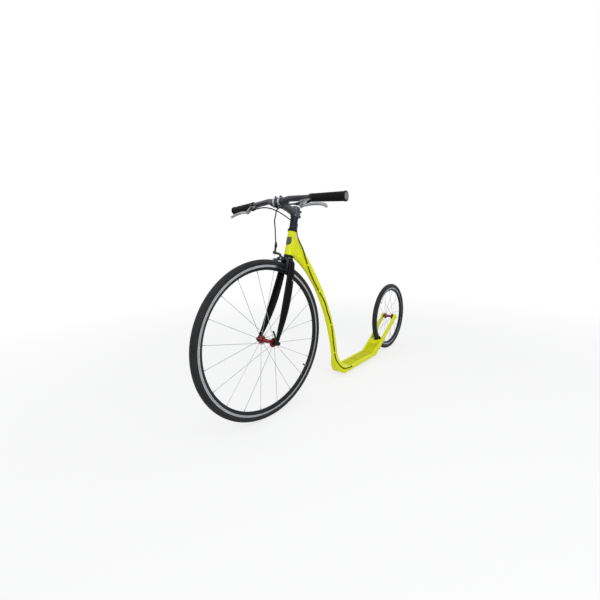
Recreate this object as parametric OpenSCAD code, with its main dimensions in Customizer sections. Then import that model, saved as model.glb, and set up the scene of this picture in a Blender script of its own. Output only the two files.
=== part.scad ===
// Kick scooter of the footbike kind: a large spoked front wheel, a small spoked rear
// wheel, a low deck and one curved main tube.
// Frame: +X forward, +Y to the rider's left, +Z up; the origin is on the ground,
// halfway between the front and rear ends of the tyres. Millimetres.

/* [Wheels] */
// Height of the front tyre above its bead seat
front_tyre_h = 27; // [26:0.5:28.5]
// Front tyre section width
front_tyre_w = 28; // [26:1:30]
// Front bead seat diameter
front_bead_d = 622; // [618:1:626]
// Height of the rear tyre above its bead seat
rear_tyre_h = 32; // [31:0.5:33.5]
// Rear tyre section width
rear_tyre_w = 32; // [30:1:34]
// Rear bead seat diameter
rear_bead_d = 406; // [402:1:410]
// Height of the braking band of a rim
track_h = 9; // [7:0.5:10]
// Depth of a rim below its braking band
rim_depth = 12.5; // [10:0.5:16]
// Width of a rim
rim_w = 20; // [18:0.5:22]
// Wall of a rim
rim_wall = 1.5; // [1.2:0.1:2]
// Wall of a tyre
tyre_wall = 3; // [2:0.5:4]
// Spokes in each wheel
spoke_count = 20; // [16:4:24]
// Spoke diameter
spoke_d = 2; // [1.8:0.1:2.4]

/* [Hubs] */
// Distance between the front dropouts
front_old = 100; // [98:1:104]
// Distance between the rear dropouts
rear_old = 78; // [76:1:82]
// Hub flange diameter
flange_d = 40; // [36:1:44]
// Hub flange thickness
flange_t = 3; // [2.5:0.5:4]
// Hub barrel diameter
barrel_d = 17; // [15:1:20]
// Diameter of the hub ends that hold the bearings
hub_end_d = 26; // [25:1:30]
// Bearing outer diameter
bearing_d = 22; // [21:0.5:23]
// Bearing width
bearing_w = 7; // [6:0.5:8]
// Axle diameter
axle_d = 10; // [9:0.5:11]
// Running clearance of a turning fit, on the radius
running_gap = 0.05; // [0.03:0.01:0.08]
// Clearance between parts that pass each other
part_gap = 0.4; // [0.3:0.1:0.6]

/* [Steering] */
// Lean of the steering axis from upright
head_tilt = 15.6; // [14:0.2:17]
// Fork rake, from the steering axis to the front axle
fork_rake = 47; // [42:1:52]
// Rise of the crown race seat above the wheel's radius, along the steering axis
crown_rise = 24; // [23:0.5:30]
// Head tube length
head_length = 103; // [98:1:110]
// Head tube diameter at its foot
head_foot_d = 42; // [41:0.5:44]
// Head tube diameter at its top
head_top_d = 38; // [38:0.5:40]
// Steerer diameter
steerer_d = 28.6; // [28:0.1:29]
// Steerer wall
steerer_wall = 2.5; // [2:0.25:3]
// Height of the spacers under the stem
spacer_h = 50; // [40:1:60]

/* [Handlebar] */
// Stem reach, from the steering axis to the bar
stem_reach = 100; // [90:1:110]
// Height of the stem clamp
stem_h = 42; // [38:1:46]
// Bar diameter at the stem
bar_clamp_d = 31.8; // [31:0.2:33]
// Bar diameter at the grips
bar_d = 22.2; // [22:0.1:23]
// Overall width of the bar over the grips
bar_width = 636; // [610:2:660]
// Rise of the bar from the stem to its bends
bar_rise = 8; // [6:0.5:10]
// Backsweep of each half of the bar
bar_sweep = 4; // [3:0.5:6]
// Drop of each half of the bar
bar_drop = 3.3; // [2:0.1:4]
// Grip length
grip_length = 138; // [128:1:142]
// Grip diameter at its inner end
grip_inner_d = 30; // [28:0.5:31]
// Grip diameter at its outer end
grip_outer_d = 34; // [32:0.5:35]
// Turn of the brake levers below level
lever_droop = 37; // [32:1:44]
// Distance from the bar to the lever pivot
lever_offset = 56; // [54:1:58]

/* [Frame] */
// Distance from the front axle back to the front edge of the deck
deck_setback = 521; // [505:1:535]
// Length of the level part of the deck
deck_length = 344; // [320:2:350]
// Overall width of the deck
deck_width = 96; // [92:1:104]
// Height of the deck's underside
deck_clearance = 22; // [18:1:26]
// Height of the deck section
deck_h = 27; // [26:1:30]
// Radius of the deck's long edges
deck_corner_r = 10; // [8:0.5:12]
// Wall of the deck
deck_wall = 3; // [2.5:0.5:4]
// Slope of the kick plate
kick_angle = 31; // [29:0.5:33]
// Run of the kick plate along the ground
kick_run = 106; // [100:1:108]
// Distance from the end of the kick plate back to the rear axle
axle_setback = 194; // [190:1:225]
// Main tube depth along its slope
tube_depth = 42; // [40:1:46]
// Main tube width
tube_width = 30; // [28:1:33]
// Rear leg depth
leg_depth = 31; // [28:1:33]
// Rear leg thickness
leg_t = 15; // [13:0.5:16]

/* [Brakes] */
// Gap between a brake pad and the rim
pad_gap = 1.6; // [1.4:0.1:2]
// Brake pad length
pad_length = 48; // [42:1:50]
// Brake pad thickness
pad_t = 6; // [5:0.5:7]
// Thickness of a brake arm along its pivot
arm_t = 6; // [5.5:0.5:6.5]
// Brake pivot bolt diameter
pivot_d = 6; // [5.5:0.5:6.5]
// Cable housing diameter
housing_d = 5; // [4.5:0.1:5.2]
// Brake wire diameter
wire_d = 1.6; // [1.2:0.1:2]

/* [Hidden] */

fine = 96;
small = 32;
yellow = "#d3e01c";
black = "#1b1c1e";
rubber = "#262626";
silver = "#c4c6c8";
red = "#9c1f2a";

// Wheels
front_r = front_bead_d / 2 + front_tyre_h;
rear_r = rear_bead_d / 2 + rear_tyre_h;
wheel_base = deck_setback + deck_length + kick_run + axle_setback;
front_x = (wheel_base + rear_r - front_r) / 2;
rear_x = front_x - wheel_base;
bead_rise = 6;
front_track_r = front_bead_d / 2 + bead_rise - track_h / 2;
rear_track_r = rear_bead_d / 2 + bead_rise - track_h / 2;
front_spoke_turn = 11.3;
rear_spoke_turn = 15.3;
tube_gap = 0.3;
strip_t = 2.5;
valve_d = 6;
valve_length = 40;
bed_half_w = 3.4;

// Hubs
front_flange_y = 35;
rear_flange_y = 25;
hub_end_gap = 5.5;
spoke_circle_inset = 3;
skewer_d = 5;
dropout_t = 7;
axle_tip_d = 8.8;
locknut_d = 16;

// Steering, along the steering axis from the foot of the rake
fork_length = front_r + crown_rise;
race_h = 4;
cup_h = 10;
cup_spigot_h = 8;
cup_wall = 3;
head_low = fork_length + race_h + part_gap + cup_h;
head_top = head_low + head_length;
upper_cup_h = 8;
spacer_low = head_top + upper_cup_h + part_gap;
dust_cap_h = 4;
stem_low = spacer_low + dust_cap_h + spacer_h;
stem_mid = stem_low + stem_h / 2;
stem_rise = 6;
bar_s = stem_mid + stem_rise;
steerer_top = stem_low + stem_h;
head_bearing_h = 6.5;
cup_d = head_foot_d;
upper_cup_d = head_top_d + 2;
spacer_d = 33;
stem_clamp_d = 38;
crown_h = 18;
crown_face = 22;

// Handlebar
bar_bend_y = 60;
bar_straight_y = 25;
bar_wall = 2.5;
taper_run = bar_bend_y - bar_straight_y;
faceplate_w = 10;
faceplate_y = 14;
stem_head_w = 44;
stem_head_wall = 4;
plug_t = 3;
mark_w = 1.5;
mark_depth = 0.2;
grip_end = (bar_width / 2 - bar_bend_y) / (cos(bar_sweep) * cos(bar_drop)) - plug_t;
grip_start = grip_end - grip_length;
clamp_w = 16;
clamp_gap = 1;
clamp_d = 31;
lever_d = grip_start - clamp_gap - clamp_w / 2;
pivot_inset = 17;
lever_t = 6;
cheek_t = 3;
lever_pin_d = 5;
barrel_x = lever_offset - 15;
barrel_start = 34;
barrel_end = 67;
adjuster_d = 8;

// Frame
deck_front = front_x - deck_setback;
deck_join = deck_front - 50;
deck_back = deck_front - deck_length;
deck_top = deck_clearance + deck_h;
kick_end = deck_back - kick_run;
kick_rise = kick_run * tan(kick_angle);
kick_floor_x = deck_back - 18;
kick_high_end = deck_top + kick_rise;
kick_low_end = deck_clearance + (kick_floor_x - kick_end) * tan(kick_angle);
kick_plate_t = 4;
kick_wall = 5;
tread_drop = 2;
tread_w = deck_width - 28;
notch_w = rear_tyre_w + 28;
notch_depth = 12;
recess_start = 22;
recess_run = 52;
recess_w = tread_w - 8;
port_along = 74;
port_y = 34;
port_run = 34;
port_w = 5;
port_depth = 1.6;
leg_axle_rise = 4;
boss_d = 34;
axle_bolt_d = 8;
bolt_head_d = 12;
bolt_head_h = 5;

// Brakes
pad_h = 8;
holder_t = 3;
front_pad_shift = 11;
rear_pad_shift = 0;
pad_seat_gap = 0.3;
front_arm_y = 29;
rear_arm_y = 25.5;
brake_offset_front = 8;
front_bolt_r = fork_length - brake_offset_front;
rear_bolt_r = rear_r + 17;
rear_brake_angle = 40;
washer_t = 5;
layer_gap = 0.5;
arm_mid = washer_t + arm_t + layer_gap / 2;
stack_h = washer_t + 2 * arm_t + layer_gap + 0.8;
eye_d = 12;
stud_d = 5;
nut_d = 10;
front_tail_y = 44;
rear_tail_y = 36;
front_tail_z = [-2, 24];
rear_tail_z = [11, 27];
front_adjuster_top = 46;
rear_adjuster_top = 39;
adjuster_bore = 6;
bridge_t = 14;

// ---------- Helpers ----------

// Straight line between two values
function mix(a, b, t) = a + (b - a) * t;

// Value eased from 0 to 1
function ease(t) = t * t * (3 - 2 * t);

// Point on a cubic curve through four control points
function cubic(p, t) =
  pow(1 - t, 3) * p[0] + 3 * pow(1 - t, 2) * t * p[1]
  + 3 * (1 - t) * t * t * p[2] + pow(t, 3) * p[3];

// Point on a quadratic curve through three control points
function quadratic(p, t) =
  pow(1 - t, 2) * p[0] + 2 * (1 - t) * t * p[1] + t * t * p[2];

function unit(v) = v / norm(v);

// Closed ring about c in the plane of a and b: half sizes ha and hb, corner radii ra and rb
function soft_ring(c, a, b, ha, hb, ra, rb, n = 6) = [
  for (q = [0 : 3])
    for (i = [0 : n])
      let (
        turn = 90 * q + 90 * i / n,
        sa = (q == 0 || q == 3) ? 1 : -1,
        sb = q < 2 ? 1 : -1
      )
      c + a * (sa * (ha - ra) + ra * cos(turn)) + b * (sb * (hb - rb) + rb * sin(turn))
];

// Solid skin through rings that have the same number of points
module loft(rings) {
  n = len(rings[0]);
  m = len(rings);
  points = [for (r = rings) each r];
  side = [
    for (k = [0 : m - 2])
      for (i = [0 : n - 1])
        let (j = (i + 1) % n)
        each [
          [k * n + i, (k + 1) * n + i, (k + 1) * n + j],
          [k * n + i, (k + 1) * n + j, k * n + j]
        ]
  ];
  first = [for (i = [0 : n - 1]) i];
  last = [for (i = [n - 1 : -1 : 0]) (m - 1) * n + i];
  polyhedron(points, concat([first], side, [last]), convexity = 10);
}

// Point on a smooth curve between p1 and p2, with p0 and p3 as their neighbours
function smooth_point(p0, p1, p2, p3, t) =
  0.5 * (2 * p1 + (p2 - p0) * t + (2 * p0 - 5 * p1 + 4 * p2 - p3) * t * t
  + (3 * p1 - p0 - 3 * p2 + p3) * t * t * t);

// Smooth route through hand-placed points, with a few steps between each pair
function smooth_route(p, steps) = [
  for (k = [0 : len(p) - 2])
    for (i = [0 : steps - 1])
      smooth_point(p[max(k - 1, 0)], p[k], p[k + 1], p[min(k + 2, len(p) - 1)], i / steps),
  p[len(p) - 1]
];

// Direction of a route at step k
function heading(p, k) = unit(p[min(k + 1, len(p) - 1)] - p[max(k - 1, 0)]);

// Frames carried along a route without twist: each is [side, up]
function frames(p, k = 0, up = [0, 0, 1], done = []) =
  k == len(p)
    ? done
    : let (
        t = heading(p, k),
        trial = up - t * (up * t),
        u = norm(trial) > 0.05 ? unit(trial) : unit(cross(t, [0, 1, 0.3])),
        s = cross(t, u)
      )
      frames(p, k + 1, u, concat(done, [[s, u]]));

// Round cable along a route
module cable(p, d, sides = 8) {
  f = frames(p);
  rings = [
    for (k = [0 : len(p) - 1])
      [for (i = [0 : sides - 1])
        let (turn = -360 * (i + 0.5) / sides)
        p[k] + f[k][0] * (cos(turn) * d / 2) + f[k][1] * (sin(turn) * d / 2)]
  ];
  loft(rings);
}

// Cylinder along Y, from y = low to y = high
module y_rod(d, low, high, faces = small) {
  translate([0, high, 0]) rotate([90, 0, 0]) cylinder(d = d, h = high - low, $fn = faces);
}

// Cylinder along X, from x = low to x = high
module x_rod(d, low, high, faces = small) {
  translate([low, 0, 0]) rotate([0, 90, 0]) cylinder(d = d, h = high - low, $fn = faces);
}

// Round-ended bar between two points, drawn flat
module limb_2d(a, b, d) {
  span = b - a;
  translate(a) circle(d = d, $fn = small);
  translate(b) circle(d = d, $fn = small);
  flat = d * 0.98;
  translate(a) rotate(atan2(span[1], span[0])) translate([0, -flat / 2]) square([norm(span), flat]);
}

// Chain of round-ended bars, drawn flat
module chain_2d(points, d) {
  for (k = [0 : len(points) - 2]) limb_2d(points[k], points[k + 1], d);
}

// Steering axes: x forward of the axis, z up along it, z = 0 level with the front axle's foot
module steering() {
  translate([front_x, 0, front_r]) rotate([0, -head_tilt, 0]) translate([-fork_rake, 0, 0])
    children();
}

// The same point in the scooter's frame
function steer_point(p) = [
  front_x + (p[0] - fork_rake) * cos(head_tilt) - p[2] * sin(head_tilt),
  p[1],
  front_r + (p[0] - fork_rake) * sin(head_tilt) + p[2] * cos(head_tilt)
];

// Axes of one half of the bar: y outward along it from the bend, x forward, z up
module on_bar(side, along = 0) {
  translate(steer_point([stem_reach, 0, bar_s])) mirror([0, side < 0 ? 1 : 0, 0])
    translate([0, bar_bend_y, bar_rise]) rotate([-bar_drop, 0, bar_sweep]) translate([0, along, 0])
      children();
}

// Axes of one brake lever: x from the bar towards the lever pivot, y outward
module lever_axes(side) {
  on_bar(side, lever_d) rotate([0, lever_droop, 0]) children();
}

module at_front_axle() {
  translate([front_x, 0, front_r]) children();
}

module at_rear_axle() {
  translate([rear_x, 0, rear_r]) children();
}

// Both sides of the scooter's middle plane
module both_sides() {
  children();
  mirror([0, 1, 0]) children();
}

// Axes of the front brake: x forward from the crown, z away from the axle, y left
module front_brake_axes() {
  steering() translate([crown_face, 0, front_bolt_r]) children();
}

// Axes of the rear brake: x from its bridge back and down, z away from the axle, y left
module rear_brake_axes() {
  at_rear_axle() rotate([0, 90 + rear_brake_angle, 0]) translate([-arm_mid, 0, rear_bolt_r])
    children();
}

// ---------- Wheels ----------

// Turns a profile drawn as [radius, y] about the wheel's axle
module about_axle() {
  rotate([90, 0, 0]) rotate_extrude($fn = fine) children();
}

module tyre(outer_r, bead_r, width) {
  centre_r = outer_r - width / 2;
  edge_r = bead_r + bead_rise + tube_gap;
  neck = rim_w / 2 - rim_wall - tube_gap;
  color(rubber) about_axle() difference() {
    union() {
      intersection() {
        translate([centre_r, 0]) circle(d = width, $fn = fine);
        translate([edge_r, -width]) square([width * 2, width * 2]);
      }
      translate([bead_r - tube_gap, -neck]) square([edge_r - bead_r + 2, 2 * neck]);
    }
    tyre_cavity(centre_r, edge_r + strip_t, width - 2 * tyre_wall);
    translate([bead_r - 2, strip_t - neck]) square([centre_r - bead_r + 2, 2 * (neck - strip_t)]);
  }
}

// Room inside a tyre, above its beads, drawn as [radius, y]
module tyre_cavity(centre_r, low_r, d) {
  intersection() {
    translate([centre_r, 0]) circle(d = d, $fn = fine);
    translate([low_r, -d]) square([2 * d, 2 * d]);
  }
}

// Inner tube with its valve, at the given turn about the axle
module inner_tube(outer_r, bead_r, width, valve_turn) {
  centre_r = outer_r - width / 2;
  tube_d = width - 2 * tyre_wall - 2 * tube_gap;
  valve_low = bead_r + bead_rise - track_h - rim_depth - valve_length / 2;
  edge_r = bead_r + bead_rise + tube_gap;
  color(rubber) about_axle() tyre_cavity(centre_r, edge_r + strip_t + tube_gap, tube_d);
  color(rubber) rotate([0, -valve_turn, 0]) x_rod(valve_d, valve_low, centre_r);
}

// Turn of the valve: halfway between two spokes
function valve_turn(spoke_turn, step) = spoke_turn + (step + 0.5) * 360 / spoke_count;

front_valve_turn = valve_turn(front_spoke_turn, -9);
rear_valve_turn = valve_turn(rear_spoke_turn, 1);

// Box-section rim with braking bands, spoke holes and a valve hole
module rim(bead_r, spoke_turn, valve_at) {
  edge_r = bead_r + bead_rise;
  track_low = edge_r - track_h;
  bed_r = track_low - rim_depth;
  half = rim_w / 2;
  slope = rim_wall * 1.2;
  color(black) difference() {
    about_axle() difference() {
      polygon([
        [bed_r, -bed_half_w], [track_low, -half], [edge_r, -half],
        [edge_r, rim_wall - half], [bead_r - rim_wall, rim_wall - half],
        [bead_r - rim_wall, half - rim_wall], [edge_r, half - rim_wall],
        [edge_r, half], [track_low, half], [bed_r, bed_half_w]
      ]);
      polygon([
        [bed_r + rim_wall, slope - bed_half_w], [track_low, slope - half],
        [bead_r - 2 * rim_wall, slope - half], [bead_r - 2 * rim_wall, half - slope],
        [track_low, half - slope], [bed_r + rim_wall, bed_half_w - slope]
      ]);
    }
    for (k = [0 : spoke_count - 1])
      rotate([0, -(spoke_turn + k * 360 / spoke_count), 0])
        x_rod(spoke_d * 2 + 1.2, bed_r - 1, track_low);
    rotate([0, -valve_at, 0]) x_rod(valve_d + 0.6, bed_r - 1, edge_r);
  }
}

// Spokes with their nipples: straight from a flange to the rim, sides in turn
module spokes(bead_r, flange_y, spoke_turn) {
  bed_r = bead_r + bead_rise - track_h - rim_depth;
  root_r = flange_d / 2 - spoke_circle_inset;
  root_y = flange_y + flange_t / 2 + 0.8 * spoke_d;
  lean = atan2(root_y, bed_r - root_r);
  reach = norm([root_y, bed_r - root_r]);
  nipple = 12;
  color(silver) for (k = [0 : spoke_count - 1]) {
    side = k % 2 == 0 ? 1 : -1;
    rotate([0, -(spoke_turn + k * 360 / spoke_count), 0]) mirror([0, side < 0 ? 1 : 0, 0]) {
      translate([root_r, root_y, 0]) {
        rotate([0, 0, -lean]) {
          x_rod(spoke_d, 0, reach - nipple / 2, 16);
          x_rod(spoke_d * 2, reach - nipple, reach + rim_wall, 16);
        }
        sphere(d = spoke_d, $fn = 16);
        y_rod(spoke_d, -flange_t - spoke_d, 0, 16);
        y_rod(spoke_d * 1.8, -flange_t - spoke_d * 1.3, -flange_t - spoke_d * 0.8, 16);
      }
    }
  }
}

module hub(flange_y, old, spoke_turn) {
  end_y = old / 2 - hub_end_gap;
  color(red) difference() {
    union() {
      y_rod(barrel_d, -flange_y, flange_y, fine);
      y_rod(hub_end_d, -end_y, 4 - flange_y, fine);
      y_rod(hub_end_d, flange_y - 4, end_y, fine);
      for (side = [-1, 1])
        translate([0, side * flange_y, 0]) y_rod(flange_d, -flange_t / 2, flange_t / 2, fine);
    }
    y_rod(axle_d + 2, -end_y - 1, end_y + 1, fine);
    y_rod(bearing_d, -end_y - 1, bearing_w + 0.5 - end_y, fine);
    y_rod(bearing_d, end_y - bearing_w - 0.5, end_y + 1, fine);
    for (k = [0 : spoke_count - 1])
      let (side = k % 2 == 0 ? 1 : -1)
      rotate([0, -(spoke_turn + k * 360 / spoke_count), 0])
        translate([flange_d / 2 - spoke_circle_inset, side * flange_y, 0])
          y_rod(spoke_d + 0.3, -flange_t, flange_t, 16);
  }
}

// Two bearings that turn with the hub on the fixed axle
module hub_bearings(old) {
  end_y = old / 2 - hub_end_gap - 0.5;
  color(silver) both_sides() translate([0, end_y, 0]) difference() {
    y_rod(bearing_d, -bearing_w, 0, fine);
    y_rod(axle_d + 2 * running_gap, -bearing_w - 1, 1, fine);
  }
}

module front_tyre() {
  at_front_axle() tyre(front_r, front_bead_d / 2, front_tyre_w);
}

module front_rim() {
  at_front_axle() rim(front_bead_d / 2, front_spoke_turn, front_valve_turn);
}

module front_spokes() {
  at_front_axle() spokes(front_bead_d / 2, front_flange_y, front_spoke_turn);
}

module front_hub() {
  at_front_axle() hub(front_flange_y, front_old, front_spoke_turn);
}

module front_inner_tube() {
  at_front_axle() inner_tube(front_r, front_bead_d / 2, front_tyre_w, front_valve_turn);
}

module front_bearings() {
  at_front_axle() hub_bearings(front_old);
}

module rear_tyre() {
  at_rear_axle() tyre(rear_r, rear_bead_d / 2, rear_tyre_w);
}

module rear_rim() {
  at_rear_axle() rim(rear_bead_d / 2, rear_spoke_turn, rear_valve_turn);
}

module rear_spokes() {
  at_rear_axle() spokes(rear_bead_d / 2, rear_flange_y, rear_spoke_turn);
}

module rear_hub() {
  at_rear_axle() hub(rear_flange_y, rear_old, rear_spoke_turn);
}

module rear_inner_tube() {
  at_rear_axle() inner_tube(rear_r, rear_bead_d / 2, rear_tyre_w, rear_valve_turn);
}

module rear_bearings() {
  at_rear_axle() hub_bearings(rear_old);
}

// ---------- Front axle and quick release ----------

module front_axle() {
  color(black) at_front_axle() difference() {
    union() {
      y_rod(axle_d, -front_old / 2 + 1, front_old / 2 - 1, fine);
      y_rod(axle_tip_d, -front_old / 2 - dropout_t + 1, front_old / 2 + dropout_t - 1, fine);
      both_sides() y_rod(locknut_d, front_old / 2 - hub_end_gap + 1, front_old / 2, fine);
    }
    y_rod(skewer_d + 0.4, -front_old, front_old, fine);
  }
}

skewer_face = front_old / 2 + dropout_t;
cam_y = skewer_face + 7.5;
cam_d = 9;
cam_head_d = 17;
nut_h = 10;
cam_turn = 8;

module front_skewer() {
  color(black) at_front_axle() difference() {
    union() {
      y_rod(skewer_d, -skewer_face - 2, skewer_face + 2);
      y_rod(cam_head_d, skewer_face, skewer_face + 13);
      y_rod(15, -skewer_face - nut_h, -skewer_face);
    }
    rotate([0, cam_turn, 0]) translate([0, cam_y, 0])
      x_rod(cam_d + 2 * running_gap, -cam_head_d, cam_head_d);
  }
}

// Cam with its curved handle, closed upward beside the fork leg
module quick_release_lever() {
  outer = cam_head_d / 2 + part_gap;
  color(black) at_front_axle() rotate([0, cam_turn, 0]) translate([0, cam_y, 0]) {
    x_rod(cam_d, -outer, outer + 1);
    translate([outer, 0, 0]) rotate([90, 0, 90]) linear_extrude(4)
      chain_2d([[0, 0], [1, 16], [0, 36], [-5, 56]], 8);
  }
}

// ---------- Rear axle ----------

module rear_axle() {
  color(silver) at_rear_axle() difference() {
    union() {
      y_rod(axle_d, -rear_old / 2, rear_old / 2, fine);
      both_sides() y_rod(locknut_d, rear_old / 2 - hub_end_gap + 1, rear_old / 2, fine);
    }
    both_sides() y_rod(axle_bolt_d, rear_old / 2 - 15, rear_old / 2 + 1);
  }
}

module rear_axle_bolts() {
  leg_out = rear_old / 2 + leg_t + 1;
  color(silver) at_rear_axle() both_sides() difference() {
    union() {
      y_rod(axle_bolt_d, rear_old / 2 - 15, leg_out - bolt_head_h);
      y_rod(bolt_head_d, leg_out - bolt_head_h, leg_out - 0.5);
    }
    y_rod(5, leg_out - 3.5, leg_out + 1, 6);
  }
}

// ---------- Frame ----------

module head_tube() {
  color(yellow) steering() translate([0, 0, head_low]) difference() {
    cylinder(d1 = head_foot_d, d2 = head_top_d, h = head_length, $fn = fine);
    translate([0, 0, -1]) cylinder(d = steerer_d + 2 * cup_wall, h = head_length + 2, $fn = fine);
  }
}

// Edges of the main tube seen from the side, as cubic curves from the head to the boot
boot_top = deck_clearance + 113;
tube_back = deck_front + 21;
tube_wall = 2.5;
front_top = steer_flat(head_low + 4);
rear_top = steer_flat(head_top - 6);
front_edge = [
  front_top,
  front_top + [-174, -0.151 * (front_top[1] - boot_top)],
  [tube_back + tube_depth + 23, mix(boot_top, front_top[1], 0.366)],
  [tube_back + tube_depth, boot_top]
];
rear_edge = [
  rear_top,
  rear_top + [-195, -0.3605 * (rear_top[1] - boot_top)],
  [tube_back + 37, mix(boot_top, rear_top[1], 0.418)],
  [tube_back, boot_top + 3]
];
boot_front = [
  [tube_back + tube_depth, boot_top],
  [deck_front + 58, deck_clearance + 50],
  [deck_front, deck_clearance]
];
boot_back = [
  [tube_back, boot_top + 3],
  [deck_front + 5, deck_top + 12],
  [deck_join + 14, deck_top + 1]
];

// Point on the steering axis, as [x, z]
function steer_flat(s) = [
  front_x - fork_rake * cos(head_tilt) - s * sin(head_tilt),
  front_r - fork_rake * sin(head_tilt) + s * cos(head_tilt)
];

// Ring of the main tube between a front and a rear edge point, drawn in by a wall
function tube_ring(f, b, half_w, round_a, round_b, wall) =
  let (
    mid = (f + b) / 2,
    across = unit(f - b),
    half = norm(f - b) / 2
  )
  soft_ring(
    [mid[0], 0, mid[1]], [across[0], 0, across[1]], [0, -1, 0],
    half - wall, half_w - wall, round_a - wall, round_b - wall
  );

function upper_ring(t, wall) =
  let (half_w = tube_width / 2)
  tube_ring(
    cubic(front_edge, t), cubic(rear_edge, t), half_w, tube_depth / 2 * 0.9, half_w * 0.92, wall
  );

function boot_ring(t, wall) =
  let (
    half_w = mix(tube_width / 2, deck_width / 2, pow(t, 1.3)),
    f = quadratic(boot_front, t),
    b = quadratic(boot_back, t)
  )
  tube_ring(
    f, b, half_w, mix(tube_depth / 2 * 0.9, deck_corner_r, t),
    mix(tube_width / 2 * 0.92, deck_corner_r, t), wall
  );

// Skin of the main tube, or of its inside where wall is the thickness to leave
module tube_skin(wall = 0) {
  upper_steps = 14;
  boot_steps = 6;
  tail_x = deck_join - (wall > 0 ? 1 : 0);
  loft(concat(
    [for (k = [0 : upper_steps - 1]) upper_ring(k / upper_steps, wall)],
    [for (k = [0 : boot_steps]) boot_ring(k / boot_steps, wall)],
    [tube_ring(
      [tail_x, deck_clearance], [tail_x, deck_top],
      deck_width / 2, deck_corner_r, deck_corner_r, wall
    )]
  ));
}

module main_tube() {
  color(yellow) difference() {
    tube_skin();
    tube_skin(tube_wall);
    steering() translate([0, 0, head_low - 30])
      cylinder(d = head_foot_d, h = 30, $fn = fine);
    steering() translate([0, 0, head_low])
      cylinder(d1 = head_foot_d, d2 = head_top_d, h = head_length, $fn = fine);
  }
}

// Deck section, drawn with x across and y up
module deck_section(shrink) {
  r = deck_corner_r - shrink;
  hw = deck_width / 2 - shrink;
  hh = deck_h / 2 - shrink;
  for (sx = [-1, 1]) for (sy = [-1, 1])
    translate([sx * (hw - r), sy * (hh - r)]) circle(r = r, $fn = small);
  square([2 * hw, 2 * (hh - r)], center = true);
  square([2 * (hw - r), 2 * hh], center = true);
}

grommet_at = [deck_join - 14, deck_width / 2 - 2, deck_top - 5];
grommet_turn = 22;
grommet_d = 10;

// Axes of the cable entry: x back into the deck and slightly inward
module grommet_axes() {
  translate(grommet_at) rotate([0, 8, 180 + grommet_turn]) children();
}

module deck() {
  color(yellow) difference() {
    translate([deck_back, 0, deck_clearance + deck_h / 2]) rotate([90, 0, 90])
      linear_extrude(deck_join - deck_back) difference() {
        deck_section(0);
        deck_section(deck_wall);
      }
    translate([deck_back - 1, -tread_w / 2, deck_top - tread_drop / 2])
      cube([deck_join - deck_back - 12, tread_w, tread_drop]);
    grommet_axes() x_rod(grommet_d, -20, 14);
  }
}

// Side outline of the kick plate, as [x, z]
module kick_side() {
  polygon([
    [deck_back, deck_clearance], [deck_back, deck_top],
    [kick_end, kick_high_end], [kick_end, kick_low_end], [kick_floor_x, deck_clearance]
  ]);
}

// Kick plate: a sloping channel between the deck and the rear legs, notched for the tyre
module kick_plate() {
  inside = deck_width - 2 * kick_wall;
  color(yellow) difference() {
    union() {
      difference() {
        across_plate(deck_width) kick_side();
        across_plate(inside) difference() {
          translate([kick_end - 1, 0]) square([deck_back - kick_end + 2, kick_high_end]);
          kick_top_band();
        }
        // Round notch for the rear tyre
        translate([kick_end - notch_w / 2 + notch_depth, 0, 0])
          cylinder(d = notch_w, h = 2 * kick_high_end, $fn = fine);
      }
      // Bridge for the brake, trimmed to the plate
      intersection() {
        across_plate(deck_width) kick_side();
        rear_brake_axes() translate([-3 * bridge_t, -11, -9]) cube([3 * bridge_t, 22, 18]);
      }
    }
    rear_brake_axes() x_rod(pivot_d, 1 - bridge_t, 1);
    // Shallow tread recess
    translate([deck_back, 0, deck_top]) rotate([0, kick_angle, 0])
      translate([-recess_start - recess_run, -recess_w / 2, -tread_drop / 2])
        cube([recess_run, recess_w, 20]);
    // Slot beside the recess
    port_axes() translate([-port_run / 2, -port_w / 2, -port_depth]) cube([port_run, port_w, 20]);
  }
}

// Axes of the slot in the kick plate: x up the slope reversed, z out of the plate
module port_axes() {
  translate([deck_back, 0, deck_top]) rotate([0, kick_angle, 0]) translate([-port_along, port_y, 0])
    children();
}

// Extrudes a side outline, drawn as [x, z], across the middle plane
module across_plate(width) {
  translate([0, width / 2, 0]) rotate([90, 0, 0]) linear_extrude(width) children();
}

// The sloping top of the kick plate, drawn as [x, z]
module kick_top_band() {
  drop = kick_plate_t / cos(kick_angle);
  polygon([
    [deck_back + 1, deck_top - drop - 0.6], [deck_back + 1, deck_top + 0.6],
    [kick_end - 1, deck_top + kick_rise + 1], [kick_end - 1, deck_top + kick_rise - drop + 0.6]
  ]);
}

// Middle line of the left rear leg, from the kick plate to the dropout
leg_root_half = (kick_high_end - kick_low_end) / 2;
leg_start = [kick_end, deck_width / 2 - leg_t / 2, (kick_high_end + kick_low_end) / 2];
leg_stop = [rear_x - 4, rear_old / 2 + leg_t / 2, rear_r + leg_axle_rise];
leg_run = leg_stop - leg_start;
leg_slope = unit([leg_run[0], 0, leg_run[2]]);

function leg_point(t) = [
  leg_start[0] + leg_run[0] * t,
  leg_start[1] + leg_run[1] * ease(min(1, 1.2 * t)),
  leg_start[2] + leg_run[2] * t
];

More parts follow.
